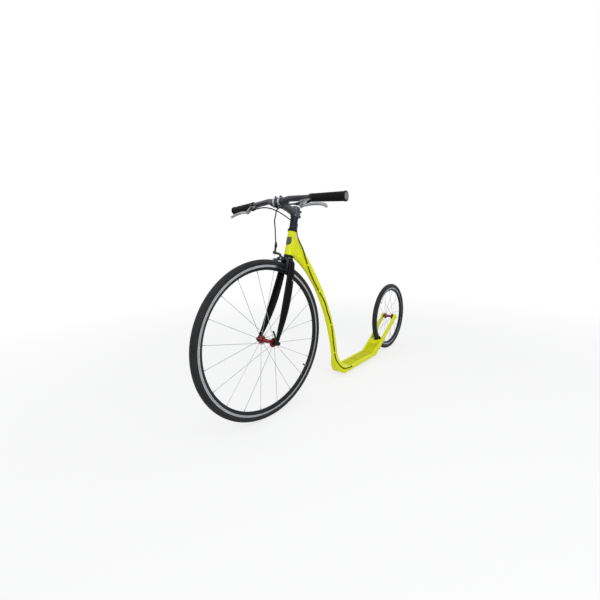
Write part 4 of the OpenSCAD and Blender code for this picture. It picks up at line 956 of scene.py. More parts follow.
@dataclass(frozen=True)
class Layout:
    """Sizes that place the parts, in millimetres and degrees: x forward, y left, z up."""

    front_x: float = 531.0
    front_r: float = 338.0
    rear_x: float = -634.0
    rear_r: float = 235.0
    tilt: float = 15.6
    rake: float = 47.0
    crown_s: float = 362.0
    head_low: float = 376.4
    head_top: float = 479.4
    spacer_low: float = 487.8
    stem_low: float = 541.8
    stem_h: float = 42.0
    bar_s: float = 568.8
    stem_reach: float = 100.0
    bend_y: float = 60.0
    bar_rise: float = 8.0
    sweep: float = 4.0
    drop: float = 3.3
    lever_d: float = 109.06
    droop: float = 37.0
    grip_start: float = 118.06
    grip_end: float = 256.06
    arm_mid: float = 11.25
    rear_turn: float = 40.0

    @property
    def front_axle(self) -> Axes:
        """Axes at the front axle."""
        return Axes(np.array([self.front_x, 0.0, self.front_r]))

    @property
    def rear_axle(self) -> Axes:
        """Axes at the rear axle."""
        return Axes(np.array([self.rear_x, 0.0, self.rear_r]))

    @property
    def steering(self) -> Axes:
        """Axes on the steering axis, level with the foot of the fork's rake: z up the axis."""
        return self.front_axle.about_y(-self.tilt).at(x=-self.rake)

    @property
    def front_brake(self) -> Axes:
        """Axes of the front brake's pivot: x out of the crown, z away from the axle."""
        return self.steering.at(22.0, 0.0, self.crown_s - 8.0)

    @property
    def rear_brake(self) -> Axes:
        """Axes of the rear brake's pivot: x out of its bridge, z away from the axle."""
        return self.rear_axle.about_y(90.0 + self.rear_turn).at(-self.arm_mid, 0.0, self.rear_r + 17.0)

    @property
    def bar_middle(self) -> Axes:
        """Axes at the middle of the bar, turned as the stem is."""
        return self.steering.at(self.stem_reach, 0.0, self.bar_s)

    def on_bar(self, side: int, along: float = 0.0) -> Axes:
        """Axes of one half of the bar: y outward along it from the bend.

        Args:
            side: 1 for the left, -1 for the right.
            along: Distance from the bend.

        Returns:
            The axes.
        """
        a, b = math.radians(self.sweep), math.radians(-self.drop)
        x = np.array([math.cos(a), math.sin(a), 0.0])
        y = np.array([-math.sin(a) * math.cos(b), math.cos(a) * math.cos(b), math.sin(b)])
        z = np.cross(x, y)
        shift = np.array([0.0, self.bend_y, self.bar_rise])
        flip = np.array([1.0, float(side), 1.0])
        middle = self.bar_middle.origin
        return Axes(middle + flip * shift, flip * x, flip * y, flip * z).at(y=along)

    def lever(self, side: int) -> Axes:
        """Axes of one lever clamp: x towards the lever's pivot, y outward."""
        return self.on_bar(side, self.lever_d).about_y(self.droop)


LAYOUT = Layout()


# ---------- Wheels ----------


@dataclass
class Wheel:
    """A spoked wheel with its tyre, rim, spokes and hub.

    Sizes are in millimetres, angles in degrees from forward towards up.
    """

    side: str
    axes: Axes
    tyre_r: float
    tyre_w: float
    bead_r: float
    flange_y: float
    old: float
    spoke_turn: float
    valve_turn: float
    columns: int
    rim_half: float = 10.0
    edge_rise: float = 6.0
    track_h: float = 9.0
    depth: float = 12.5
    bed_half: float = 3.4
    spokes: int = 20
    root_r: float = 17.0

    @property
    def body(self) -> str:
        """The body that the wheel's pieces ride on."""
        return f"{self.side}_wheel"

    @property
    def bed_r(self) -> float:
        """Radius of the rim's inner face."""
        return self.bead_r + self.edge_rise - self.track_h - self.depth

    def around(self, degrees: float) -> Axes:
        """Axes with x pointing out from the axle at an angle, z against the turn."""
        return self.axes.about_y(-degrees)

    def build(self) -> None:
        """Builds every piece of the wheel."""
        self.tyre()
        self.rim()
        self.lacing()
        self.hub()
        self.valve()

    def tyre(self) -> None:
        """The tyre: a round section with cut grooves and angled sipes on its shoulders.

        The section is a smooth curve from bead to bead and back inside it. A groove lowers
        the radius by its depth times a rounded pulse of the distance across; a sipe does so
        where the turn less a lean times that distance comes near a whole pitch.
        """
        h, hw = self.tyre_r - self.bead_r, self.tyre_w / 2
        half = np.array([
            (hw * 0.60, 6.2), (hw * 0.80, 8.6), (hw * 0.97, 0.42 * h), (hw, 0.53 * h),
            (hw * 0.955, 0.68 * h), (hw * 0.80, 0.83 * h), (hw * 0.56, 0.935 * h),
            (hw * 0.28, 0.985 * h), (0.0, h),
        ])
        key = np.vstack([half, half[-2::-1] * (-1, 1)])
        count, casing = 57, 3.0
        outer = through(np.hstack([key, key[:, :1] * 0]), np.linspace(0, len(key) - 1, count))[:, :2]
        inner = outer[::-4] * (1 - casing / hw, 1.0)
        inner[:, 1] = np.clip(inner[:, 1] - casing * inner[:, 1] / h, 6.4, h - casing)
        profile = np.vstack([outer, inner])
        profile[:, 1] += self.bead_r
        turn = np.linspace(0, FULL_TURN, self.columns, endpoint=False) * self.tyre_r
        across = profile[:count, 0:1] / hw
        groove_width, groove_depth, sipe_step = 0.045, 0.75, 9.0
        groove = sum(
            np.exp(-(((across - place) / groove_width) ** 2)) for place in (-0.52, -0.2, 0.2, 0.52)
        )
        pitch = FULL_TURN * self.tyre_r / round(FULL_TURN * self.tyre_r / sipe_step)
        phase = (turn + sipe_step * np.abs(across)) / pitch
        sipe = np.clip(np.cos(FULL_TURN * phase) * 3.0 - 1.4, 0.0, 1.0)
        shoulder = eased((np.abs(across) - 0.52) / 0.1) * eased((0.93 - np.abs(across)) / 0.08)
        centre = eased((0.2 - np.abs(across)) / 0.06) * 0.45
        tread = profile[:count, 1:2] > self.bead_r + 0.6 * h
        relief = np.zeros((len(profile), self.columns))
        relief[:count] = -groove_depth * tread * np.maximum(groove, sipe * (shoulder + centre))
        Piece(f"{self.side}_tyre_cover", TYRE).add(
            turned(self.axes, "y", profile, self.columns, True, relief=relief)
        ).build(self.body, f"{self.side}_tyre", sharp=60)

    def rim(self) -> None:
        """The rim: a boxed section with bare braking bands that carry a wear groove."""
        top, half = self.bead_r + self.edge_rise, self.rim_half
        low = top - self.track_h
        outline = fillet([
            (-self.bed_half, self.bed_r, 1.6), (-half, low - 1.2, 1.2), (-half, low, 0),
            (-half, top, 0.7), (-half + 1.6, top, 0.7), (-half + 1.9, self.bead_r - 1, 0.6),
            (half - 1.9, self.bead_r - 1, 0.6), (half - 1.6, top, 0.7), (half, top, 0.7),
            (half, low, 0), (half, low - 1.2, 1.2), (self.bed_half, self.bed_r, 1.6),
        ], closed=True, steps=3)
        side = np.abs(outline[:, 0]) > half - 0.01
        in_band = side & (outline[:, 1] > low - 0.1)
        bands = (in_band & np.roll(in_band, -1)).astype(int)
        band = replace(
            BAND, name=f"turned_band_{self.side}", centre=tuple(self.axes.origin * MM)
        )
        piece = Piece(f"{self.side}_rim_hoop", RIM, band)
        piece.add(turned(self.axes, "y", outline, 240, True, bands=bands))
        for way in (-1, 1):
            wear = np.array([
                (way * (half - 0.2), low + 4.1), (way * (half + 0.04), low + 4.15),
                (way * (half + 0.04), low + 4.75), (way * (half - 0.2), low + 4.8),
            ])
            piece.add(turned(self.axes, "y", wear, 240, True))
        piece.build(self.body, f"{self.side}_rim", sharp=30)

    def lacing(self) -> None:
        """Spokes with bent heads, straight to their nipples, from each flange in turn."""
        wires = Piece(f"{self.side}_spoke_set", STEEL)
        half_flange, wire_offset = 1.5, 1.6
        seat_y = self.flange_y + half_flange + wire_offset
        nipple_r = self.bed_r + 1.2
        for k in range(self.spokes):
            way = 1 if k % 2 == 0 else -1
            at = self.around(self.spoke_turn + k * 360.0 / self.spokes)
            at = at.sided(way)
            rim_y = 1.6
            bend = at.place(np.array([
                (self.root_r, seat_y - 5.4, 0.0), (self.root_r, seat_y - 2.2, 0.0),
                (self.root_r + 0.3, seat_y - 0.7, 0.0), (self.root_r + 1.2, seat_y - 0.1, 0.0),
                (self.root_r + 4.0, seat_y - 0.6, 0.0),
                (nipple_r - 8.0, rim_y + 0.9, 0.0), (nipple_r, rim_y, 0.0),
            ]))
            wires.add(tube(bend, 1.0, 8, hint=(0.1, 0.05, 0.99)))
            wires.add(rod(at.at(self.root_r, seat_y - 5.2), "y", -1.0, 0.6, 1.9, 0.5, 14))
            nipple = np.array([(nipple_r - 11.0, rim_y + 1.2), (nipple_r + 1.0, rim_y - 0.1)])
            line = at.place(np.stack([
                np.linspace(nipple[0, 0], nipple[1, 0], 7),
                np.linspace(nipple[0, 1], nipple[1, 1], 7), np.zeros(7),
            ], axis=1))
            swell = np.array([1.2, 1.75, 1.9, 1.9, 1.9, 2.3, 2.3])
            wires.add(tube(line, swell, 8, hint=(0.1, 0.05, 0.99)))
        wires.build(self.body, f"{self.side}_spokes")

    def hub(self) -> None:
        """The hub shell: flanges that flow into a slim barrel, with stepped ends."""
        end, f = self.old / 2 - 5.5, self.flange_y
        half = [
            (end, 11.4, 0), (end, 13.0, 0.7), (f + 4.2, 13.0, 0.4), (f + 3.6, 12.4, 0.4),
            (f + 2.6, 12.6, 0.8), (f + 1.5, 16.0, 2.0), (f + 1.5, 20.0, 0.7),
            (f - 1.5, 20.0, 0.7), (f - 1.5, 15.6, 2.5), (f - 6.5, 10.6, 4.0), (f - 12.0, 8.5, 4.0),
        ]
        mirror = [(-y, r, e) for y, r, e in half[::-1]]
        profile = fillet([*half, *mirror], steps=5)
        bore = np.array([(-end, 5.6), (end, 5.6)])
        hub = Piece(f"{self.side}_hub_shell", HUB_RED)
        hub.add(turned(self.axes, "y", np.vstack([profile, bore]), 72, True))
        hub.build(self.body, f"{self.side}_hub")
        ends = Piece(f"{self.side}_hub_seals", TRIM)
        for way in (-1, 1):
            ends.add(ring(self.axes, "y", way * (end - 1.2), way * (end + 0.25), 6.0, 11.2, 0.3))
        ends.build(self.body)

    def valve(self) -> None:
        """The valve stem with its knurled ring, its cap and the nut against the rim."""
        at = self.around(self.valve_turn)
        bed = self.bed_r
        stem = Piece(f"{self.side}_valve", TRIM, STEEL)
        profile = fillet([
            (bed - 19.6, 0.8, 0), (bed - 19.6, 2.6, 0.8), (bed - 10.0, 2.95, 0.5), (bed - 10.0, 2.2, 0),
            (bed - 8.6, 2.2, 0), (bed - 8.4, 2.95, 0.2), (bed + 8.0, 2.95, 0), (bed + 8.0, 0.8, 0),
        ])
        relief = knurled(profile, bed - 20.0, bed - 10.4, 10, 0.25, 40)
        stem.add(turned(at, "x", profile, 40, relief=relief))
        stem.add(hexagon(at, "x", bed - 2.4, bed + 0.1, 8.6, finish=1))
        stem.build(self.body)


# ---------- Fork ----------


@dataclass
class Fork:
    """The fork: one wishbone from dropout to dropout, with its steerer's seat and hub axle."""

    leg_top: float = 334.0
    leg_y: float = 25.0
    tip_y: float = 53.5
    crown_mid: float = 353.0
    leg_swell: float = 9.0
    eyelet_s: float = 270.0
    axes: Axes = field(default_factory=lambda: LAYOUT.steering)

    def build(self) -> None:
        """Builds every piece of the fork."""
        self.wishbone()
        self.crown_fittings()
        self.quick_release()

    def rake(self, s: Array) -> Array:
        """Forward offset of a leg: the rake times the square of the share left below the top."""
        return LAYOUT.rake * np.clip(1 - s / self.leg_top, 0.0, 1.0) ** 2

    def aside(self, s: Array) -> Array:
        """Sideways offset of a leg, near enough straight from the crown to the dropout."""
        return self.leg_y + (self.tip_y - self.leg_y) * np.clip(1 - s / self.leg_top, 0, 1) ** 0.95

    def half_depth(self, s: Array) -> Array:
        """Half depth of a leg: it grows upward, and half a sine wave swells it halfway up."""
        t = s / self.leg_top
        return 7 + 10 * t**0.9 + self.leg_swell * np.sin(math.pi * t)

    def half_thickness(self, s: Array) -> Array:
        """Half thickness of a leg, which grows upward."""
        return 3.5 + 5.5 * (s / self.leg_top) ** 0.8

    def wishbone(self) -> None:
        """Both legs and the crown in one smooth arch.

        Rings run up the left leg, round a quarter of an oval into the crown and across its
        middle; the right half is the mirror of the left.
        """
        s = np.concatenate([[12.0, 16.0], np.linspace(20, self.leg_top - 4, 34)])
        leg = np.stack([self.rake(s), self.aside(s), s], axis=1)
        ha, hb = self.half_depth(s), self.half_thickness(s)
        ha[:2], hb[:2] = (6.8, 7.9), (2.6, 3.4)
        a = np.radians(np.linspace(6, 90, 12))
        bend = np.stack([
            0 * a, self.leg_y * np.cos(a) ** 0.75,
            self.leg_top - 3 + (self.crown_mid - self.leg_top + 3) * np.sin(a) ** 0.8,
        ], axis=1)
        share = np.sin(a)
        path = np.vstack([leg, bend])
        ha = np.concatenate([ha, 17 + 2.5 * share])
        hb = np.concatenate([hb, 9 + 0.4 * share])
        path = np.vstack([path, path[-2::-1] * (1, -1, 1)])
        ha, hb = np.concatenate([ha, ha[-2::-1]]), np.concatenate([hb, hb[-2::-1]])
        ahead = unit(np.gradient(path, axis=0))
        x = np.broadcast_to(X, path.shape)
        x = unit(x - ahead * ahead[:, :1])
        out = np.cross(ahead, x)
        rings = softened(path, x, out, ha, hb, 0.9 * ha, 0.9 * hb, 8)
        frame = Piece("fork_wishbone", ENAMEL)
        frame.add(skin(self.axes.place(rings)))
        low = self.crown_mid - 3
        frame.add(turned(self.axes, "z", fillet([
            (low, 10, 0), (low, 21.5, 0), (357, 21.9, 1.5), (LAYOUT.crown_s - 1.2, 21.9, 0.8),
            (LAYOUT.crown_s, 20.6, 0.4), (LAYOUT.crown_s, 14.2, 0),
            (LAYOUT.stem_low + 20, 14.2, 0), (LAYOUT.stem_low + 20, 5, 0),
        ]), 96))
        boss = self.axes.at(0, 0, 354)
        frame.add(rod(boss, "x", 12, 21.9, 9.4, 1.2), rod(boss, "x", -21.9, -12, 9.4, 1.2))
        for way in (1, -1):
            at = self.axes.sided(way)
            frame.add(self.dropout(at))
        frame.build("fork", "fork_crown", "fork_leg_left", "fork_leg_right", sharp=50)

    def dropout(self, at: Axes) -> Shell:
        """A forged plate with a slot for the axle, blending up into its leg.

        Args:
            at: Steering axes of this side.

        Returns:
            The plate.
        """
        r, slot = 11.0, 4.5
        foot = -math.degrees(math.acos(slot / r))
        outline = np.vstack([
            arc(0, 0, r, foot, 52, 20),
            fillet([(7.2, 8.4, 0), (4.2, 15.0, 4), (0.8, 33.0, 2), (-13.0, 34.0, 2),
                    (-12.5, 16.0, 4), (-8.6, 6.6, 0)]),
            arc(0, 0, r, 142, 180 - foot, 16),
            arc(0, 0, slot, 180, 0, 12),
        ])
        flat = outline[:, ::-1]
        return plate(at.at(LAYOUT.rake), "y", flat, 50.0, 57.0, 1.1)

    def crown_fittings(self) -> None:
        """The race under the head and the screws in the legs' eyelets."""
        race = Piece("crown_race_ring", STEEL)
        race.add(turned(self.axes, "z", fillet([
            (362.0, 14.4, 0), (362.0, 21.0, 0.4), (363.0, 21.0, 0.4), (366.0, 18.0, 0.4),
            (366.0, 14.4, 0),
        ], closed=True), 96, True))
        race.build("fork", "crown_race")
        screws = Piece("eyelet_screw_pair", BAND)
        s = np.array(self.eyelet_s)
        x = float(self.rake(s)) - 5.0
        y = float(self.aside(s) + self.half_thickness(s))
        for way in (1, -1):
            at = self.axes.sided(way)
            at = at.at(x, y, self.eyelet_s)
            screws.add(rod(at, "y", -9, 1.4, 2.0, 0.2, 24))
            screws.add(socket_head(at, "y", 0.9, 4.0, 4.0))
        screws.build("fork", "eyelet_screws")

    def quick_release(self) -> None:
        """The skewer with its knurled nut and cam head, and the lever closed upward."""
        axle = LAYOUT.front_axle
        skewer = Piece("quick_release_skewer", OXIDE, STEEL)
        nut = fillet([(-57, 4, 0), (-57, 7.4, 0.6), (-64.5, 7.4, 1.2), (-66.9, 5.2, 0.8), (-66.9, 1, 0)])
        skewer.add(turned(axle, "y", nut, 72, relief=knurled(nut, -64.4, -57.4, 18, 0.3, 72)))
        skewer.add(turned(axle, "y", fillet([
            (57, 2.6, 0), (57, 7.2, 0.4), (59.2, 8.4, 1.0), (68.4, 8.4, 2.4), (69.9, 5.0, 1.0),
            (69.9, 1, 0),
        ]), 64))
        skewer.add(rod(axle, "y", -66.9, -57, 2.3, 0.2, 24, finish=1))
        skewer.build("fork", "front_skewer")
        at = axle.about_y(8.0).at(y=64.5)
        lever = Piece("quick_release_handle", OXIDE)
        lever.add(rod(at, "x", -8.7, 10.0, 4.3, 0.6))
        lever.add(forged(
            at, [(10.9, 0, 0), (10.9, 0.9, 10), (10.9, 1.2, 20), (10.9, 0, 36), (10.9, -5, 56)],
            [8.4, 7.6, 7.4, 8.4, 9.0], [3.9, 3.9, 3.6, 3.4, 3.4], (1.0, 0.0, 0.0),
        ))
        lever.build("quick_release", "quick_release_lever")


# ---------- Steering head and cockpit ----------


@dataclass
class Cockpit:
    """Everything on the steering axis above the fork: head parts, stem, bar and grips."""

    clamp_r: float = 15.9
    grip_r: float = 11.1
    straight_y: float = 25.0
    band_y: float = 14.0
    band_w: float = 10.0
    wall: float = 4.0
    axes: Axes = field(default_factory=lambda: LAYOUT.steering)

    def build(self) -> None:
        """Builds every piece of the cockpit."""
        self.headset()
        self.stem()
        self.bands()
        self.bar()
        for side in (1, -1):
            self.grip(side)
            self.lever(side)

    def headset(self) -> None:
        """Cups pressed in the frame, and the column of spacers that the stem sits on."""
        low, top = LAYOUT.head_low, LAYOUT.head_top
        cups = Piece("headset_cup_pair", FORGED)
        cups.add(turned(self.axes, "z", fillet([
            (low - 10, 19.4, 0), (low - 10, 20.4, 0.5), (low - 9.2, 21.0, 0.3), (low - 3.4, 21.0, 0.3),
            (low - 3.0, 20.5, 0.2), (low - 2.4, 20.5, 0.2), (low - 2.0, 21.0, 0.3), (low - 0.2, 21.0, 0.3),
            (low, 20.2, 0), (low, 15.0, 0), (low - 10, 15.0, 0),
        ], closed=True), 96, True))
        cups.add(turned(self.axes, "z", fillet([
            (top, 21.2, 0.4), (top + 6.6, 21.2, 1.2), (top + 8, 20.2, 0.4), (top + 8, 15.0, 0),
            (top, 15.0, 0),
        ], closed=True), 96, True))
        cups.build("frame", "headset_cups")
        base = LAYOUT.spacer_low
        rows = [(base, 14.4, 0), (base, 20.6, 0.5), (base + 1.6, 20.6, 0.8), (base + 4, 17.0, 0.6)]
        edges = (base + 4.0, base + 19.0, base + 34.0, base + 44.0, base + 54.0)
        for a, b in zip(edges, edges[1:]):
            rows += [(a + 0.1, 16.1, 0), (a + 0.3, 16.5, 0.25), (b - 0.3, 16.5, 0.25), (b - 0.1, 16.1, 0)]
        rows += [(base + 54, 14.4, 0)]
        column = Piece("spacer_column", SPACER)
        column.add(turned(self.axes, "z", fillet(rows, closed=True, steps=3), 96, True))
        column.build("fork", "headset_spacers")
        cap = LAYOUT.stem_low + LAYOUT.stem_h
        lid = Piece("top_cap_disc", ANODISED, OXIDE)
        lid.add(turned(self.axes, "z", fillet([
            (cap - 6, 3, 0), (cap + 0.1, 3, 0), (cap + 0.1, 17.0, 0.4), (cap + 2.6, 16.6, 1.6),
            (cap + 5, 13.8, 1.0), (cap + 5, 7.0, 0.4), (cap + 4, 6.4, 0), (cap + 4, 2, 0),
        ]), 96))
        lid.add(socket_head(self.axes, "z", cap + 3.9, cap + 6.9, 5.4, 1))
        lid.build("fork", "top_cap")

    def stem(self) -> None:
        """The stem: a clamp on the steerer, a tapering forged body and half a bar clamp."""
        low, height = LAYOUT.stem_low, LAYOUT.stem_h
        mid = low + height / 2
        body = Piece("stem_forging", STEM)
        body.add(turned(self.axes, "z", fillet([
            (low, 14.4, 0), (low, 18.2, 0.8), (low + 1.2, 19.0, 0.8), (low + height - 1.2, 19.0, 0.8),
            (low + height, 18.2, 0.8), (low + height, 14.4, 0),
        ], closed=True), 96, True))
        t = np.linspace(0, 1, 26)
        bulge = eased(t)
        centres = np.stack([6 + 78 * t, 0 * t, mid + (LAYOUT.bar_s - mid) * t], axis=1)
        half_y = 15.8 - 3.4 * np.sin(math.pi * t) ** 1.2 + 3.0 * bulge
        half_z = 17.6 - 2.6 * np.sin(math.pi * t) - 1.2 * bulge
        body.add(blocks(self.axes, centres, half_y, half_z, 0.62 * half_y, 0.62 * half_z, 9))
        for way in (1, -1):
            ends = ((-15.5, low + 8), (-16.5, mid), (-15.5, low + height - 8))
            spine = [(x, way * 5.2, z) for x, z in ends]
            body.add(forged(self.axes, spine, [14.0, 16.0, 14.0], [7.6, 7.6, 7.6], (0.0, 1.0, 0.0)))
        outer = self.clamp_r + self.wall
        body.add(plate(
            LAYOUT.bar_middle, "y",
            np.vstack([arc(0, 0, outer, 184, 356, 40), arc(0, 0, self.clamp_r, 356, 184, 40)]),
            -22.0, 22.0, 0.9,
        ))
        body.build("fork", "stem")

    def bands(self) -> None:
        """Two bright C-shaped bands with lugs, and the socket screws that draw them up."""
        outer, lug = self.clamp_r + self.wall, self.clamp_r + self.wall + 2.9
        bands = Piece("faceplate_bands", POLISHED)
        screws = Piece("stem_screws", OXIDE)
        outline = np.vstack([
            fillet([(lug, 1.7, 0), (lug, 8.5, 1.2), (lug - 3.4, 8.9, 1.0)]),
            arc(0, 0, outer, 28, 152, 40),
            fillet([(3.4 - lug, 8.9, 1.0), (-lug, 8.5, 1.2), (-lug, 1.7, 0)]),
            arc(0, 0, self.clamp_r, 174, 6, 40),
        ])
        reach = self.clamp_r + 3.2
        for y in (-self.band_y, self.band_y):
            at = LAYOUT.bar_middle.at(y=y)
            bands.add(plate(at, "y", outline, -self.band_w / 2, self.band_w / 2, 0.9))
            for z in (-reach, reach):
                screws.add(rod(at.at(z=z), "x", -12, 9, 2.0, 0.2, 24))
                screws.add(socket_head(at.at(z=z), "x", 8.4, 12.5, 3.4))
        for s in (10.0, LAYOUT.stem_h - 10.0):
            at = self.axes.at(-20.5, 0, LAYOUT.stem_low + s)
            screws.add(rod(at, "y", -9.8, 10, 2.4, 0.2, 24), socket_head(at, "y", 9, 13.9, 3.9))
        bands.build("fork", "stem_faceplates")
        screws.build("fork", "stem_bolts")

    def bar(self) -> None:
        """The bar: a bulged middle that swages down and rises into two swept halves.

        Its middle line climbs by the rise times an eased share of the way to the bend, and
        its radius falls by the same eased share.
        """
        y = np.linspace(0, LAYOUT.bend_y, 31)
        climb = LAYOUT.bar_rise * eased((y - self.straight_y) / (LAYOUT.bend_y - self.straight_y))
        inner = LAYOUT.bar_middle.origin + np.stack([0 * y, y, climb], axis=1)
        along = np.linspace(3.0, LAYOUT.grip_end, 70)
        outer = LAYOUT.on_bar(1).place(np.stack([0 * along, along, 0 * along], axis=1))
        half = np.vstack([inner, outer])
        radius = self.clamp_r - (self.clamp_r - self.grip_r) * eased((half[:, 1] - 27.0) / 34.0)
        path = np.vstack([half[:0:-1] * (1, -1, 1), half])
        bar = Piece("riser_bar", ANODISED)
        bar.add(tube(path, np.concatenate([radius[:0:-1], radius]), 48, hint=(1.0, 0.0, 0.05)))
        bar.build("fork", "handlebar")

    def grip(self, side: int) -> None:
        """A grip with raised diamonds between plain collars, and the plug in its end.

        The diamonds stand where two families of slanting waves are both high: the relief is
        a share of the product of their sines, cut off below.

        Args:
            side: 1 for the left, -1 for the right.
        """
        name = hand_of(side)
        at = LAYOUT.on_bar(side)
        start, end = LAYOUT.grip_start, LAYOUT.grip_end
        length = end - start
        along = np.linspace(0, length, 150)
        radius = 15.0 + 2.0 * along / length
        radius = np.where(along > length - 5.0, 18.0, radius)
        radius = np.where(along < 1.0, radius - 0.7 + 0.7 * along, radius)
        profile = np.vstack([
            [(start, 11.15)], np.stack([start + along, radius], axis=1),
            [(end, 17.3), (end, 11.15)],
        ])
        turn = np.linspace(0, FULL_TURN, 120, endpoint=False)
        u = 15 * turn[None] / 2
        v = profile[:, :1] * FULL_TURN / 13.6
        waves = np.sin(u * 2 + v) * np.sin(u * 2 - v)
        cut = -0.55 * np.clip(1.0 - 3.2 * np.abs(waves), 0.0, 1.0)
        inside = (profile[:, :1] - start > 8) & (profile[:, :1] < end - 9)
        collar = (profile[:, :1] - start > 5.6) & (profile[:, :1] - start < 6.8)
        relief = np.where(inside, cut, 0.0) + np.where(collar, -0.6, 0.0)
        sleeve = Piece(f"grip_sleeve_{name}", GRIP)
        sleeve.add(turned(at, "y", profile, 120, True, relief=relief))
        sleeve.build("fork", f"grip_{name}", sharp=50)
        if side > 0:
            plugs = Piece("bar_end_caps", NYLON)
            for way in (1, -1):
                plugs.add(turned(LAYOUT.on_bar(way), "y", fillet([
                    (end - 4, 2, 0), (end - 4, 10.8, 0), (end, 10.8, 0), (end, 12.6, 0.4),
                    (end + 1.6, 12.2, 0.8), (end + 2.9, 11.0, 0.8), (end + 2.9, 9.0, 0.4),
                    (end + 1.9, 8.0, 0.4), (end + 1.9, 1.0, 0),
                ]), 72))
            plugs.build("fork", "bar_end_plugs")

    def lever(self, side: int) -> None:
        """A lever clamp with its forked arm and cable boss, its adjuster, pin and blade.

        Args:
            side: 1 for the left, -1 for the right.
        """
        name = hand_of(side)
        at = LAYOUT.lever(side)
        clamp = Piece(f"lever_bracket_{name}", FORGED, OXIDE, SATIN)
        clamp.add(ring(at, "y", -8, 8, 11.15, 15.4, 1.1, 72))
        for way in (1, -1):
            cheek = [(17, -2, way * 4.9), (30, -8, way * 4.9), (44, -13.4, way * 4.9), (56, -17, way * 4.9)]
            clamp.add(forged(
                at, cheek, [15.0, 12.5, 12.0, 12.0], [3.0, 3.0, 3.0, 3.0], (0, 0, 1), finish=2
            ))
        clamp.add(forged(
            at, [(15, 1, 0), (20, -2, 0), (23, -4, 0)], [15.0, 15.0, 13.0], [12.6, 12.6, 12.6], (0, 0, 1)
        ))
        clamp.add(forged(
            at, [(16, 0, 0), (16, -14, 0), (17.5, -28, 0), (24, -37.5, 0), (40, -38.4, 0)],
            [8.6, 8.0, 8.4, 8.8, 8.0], [10.4, 10.0, 10.0, 10.0, 9.6], (0, 0, 1), finish=2,
        ))
        boss = at.at(x=41.0)
        clamp.add(turned(boss, "y", fillet([
            (-34, 1.4, 0), (-34, 5.2, 0.5), (-36, 5.9, 0.6), (-47.4, 5.9, 0.6), (-48, 5.4, 0.3),
            (-48, 1.4, 0),
        ]), 48))
        clamp.add(socket_head(at.at(13.4, 5.0), "z", -3, -6.2, 3.1, 1))
        clamp.build("fork", f"lever_clamp_{name}")
        barrel = fillet([
            (-48.2, 1, 0), (-48.2, 2.4, 0), (-50, 2.4, 0), (-50.2, 3.9, 0.3), (-59.4, 3.9, 0.3),
            (-60, 3.2, 0.4), (-66.2, 3.0, 0.6), (-66.9, 2.6, 0.2), (-66.9, 0.8, 0),
        ])
        relief = knurled(barrel, -59.2, -50.4, 16, 0.22, 64)
        knob = Piece(f"adjuster_barrel_{name}", FORGED)
        knob.add(turned(boss, "y", barrel, 64, relief=relief))
        knob.build("fork", *(("barrel_adjusters",) if side > 0 else ()))
        pin = Piece(f"lever_pin_{name}", STEEL)
        pivot = at.at(56, -17)
        pin.add(rod(pivot, "z", -7.3, 7.3, 2.45, 0.4, 32))
        pin.build("fork", *(("lever_pins",) if side > 0 else ()))
        blade = Piece(f"lever_blade_{name}", POLISHED)
        blade.add(ring(at.at(56, -17), "z", -2.95, 2.95, 2.55, 6.9, 0.6, 48))
        blade.add(forged(
            at, [(56, -17, 0), (52, 4, 0), (46, 24, 0), (44, 46, 0), (47, 68, 0), (54, 87, 0), (63, 98, 0)],
            [12.6, 11.0, 9.6, 9.4, 9.8, 10.2, 9.4], [5.9, 6.4, 8.6, 9.6, 10.0, 9.6, 8.4], (0, 0, 1), 72,
        ))
        blade.add(forged(
            at, [(55, -17.2, 0), (49, -18.2, 0), (43, -19, 0)],
            [8.0, 7.2, 7.0], [5.6, 5.4, 5.2], (0, 0, 1), 24,
        ))
        blade.build(f"lever_{name}", f"brake_lever_{name}")


# ---------- Brakes ----------


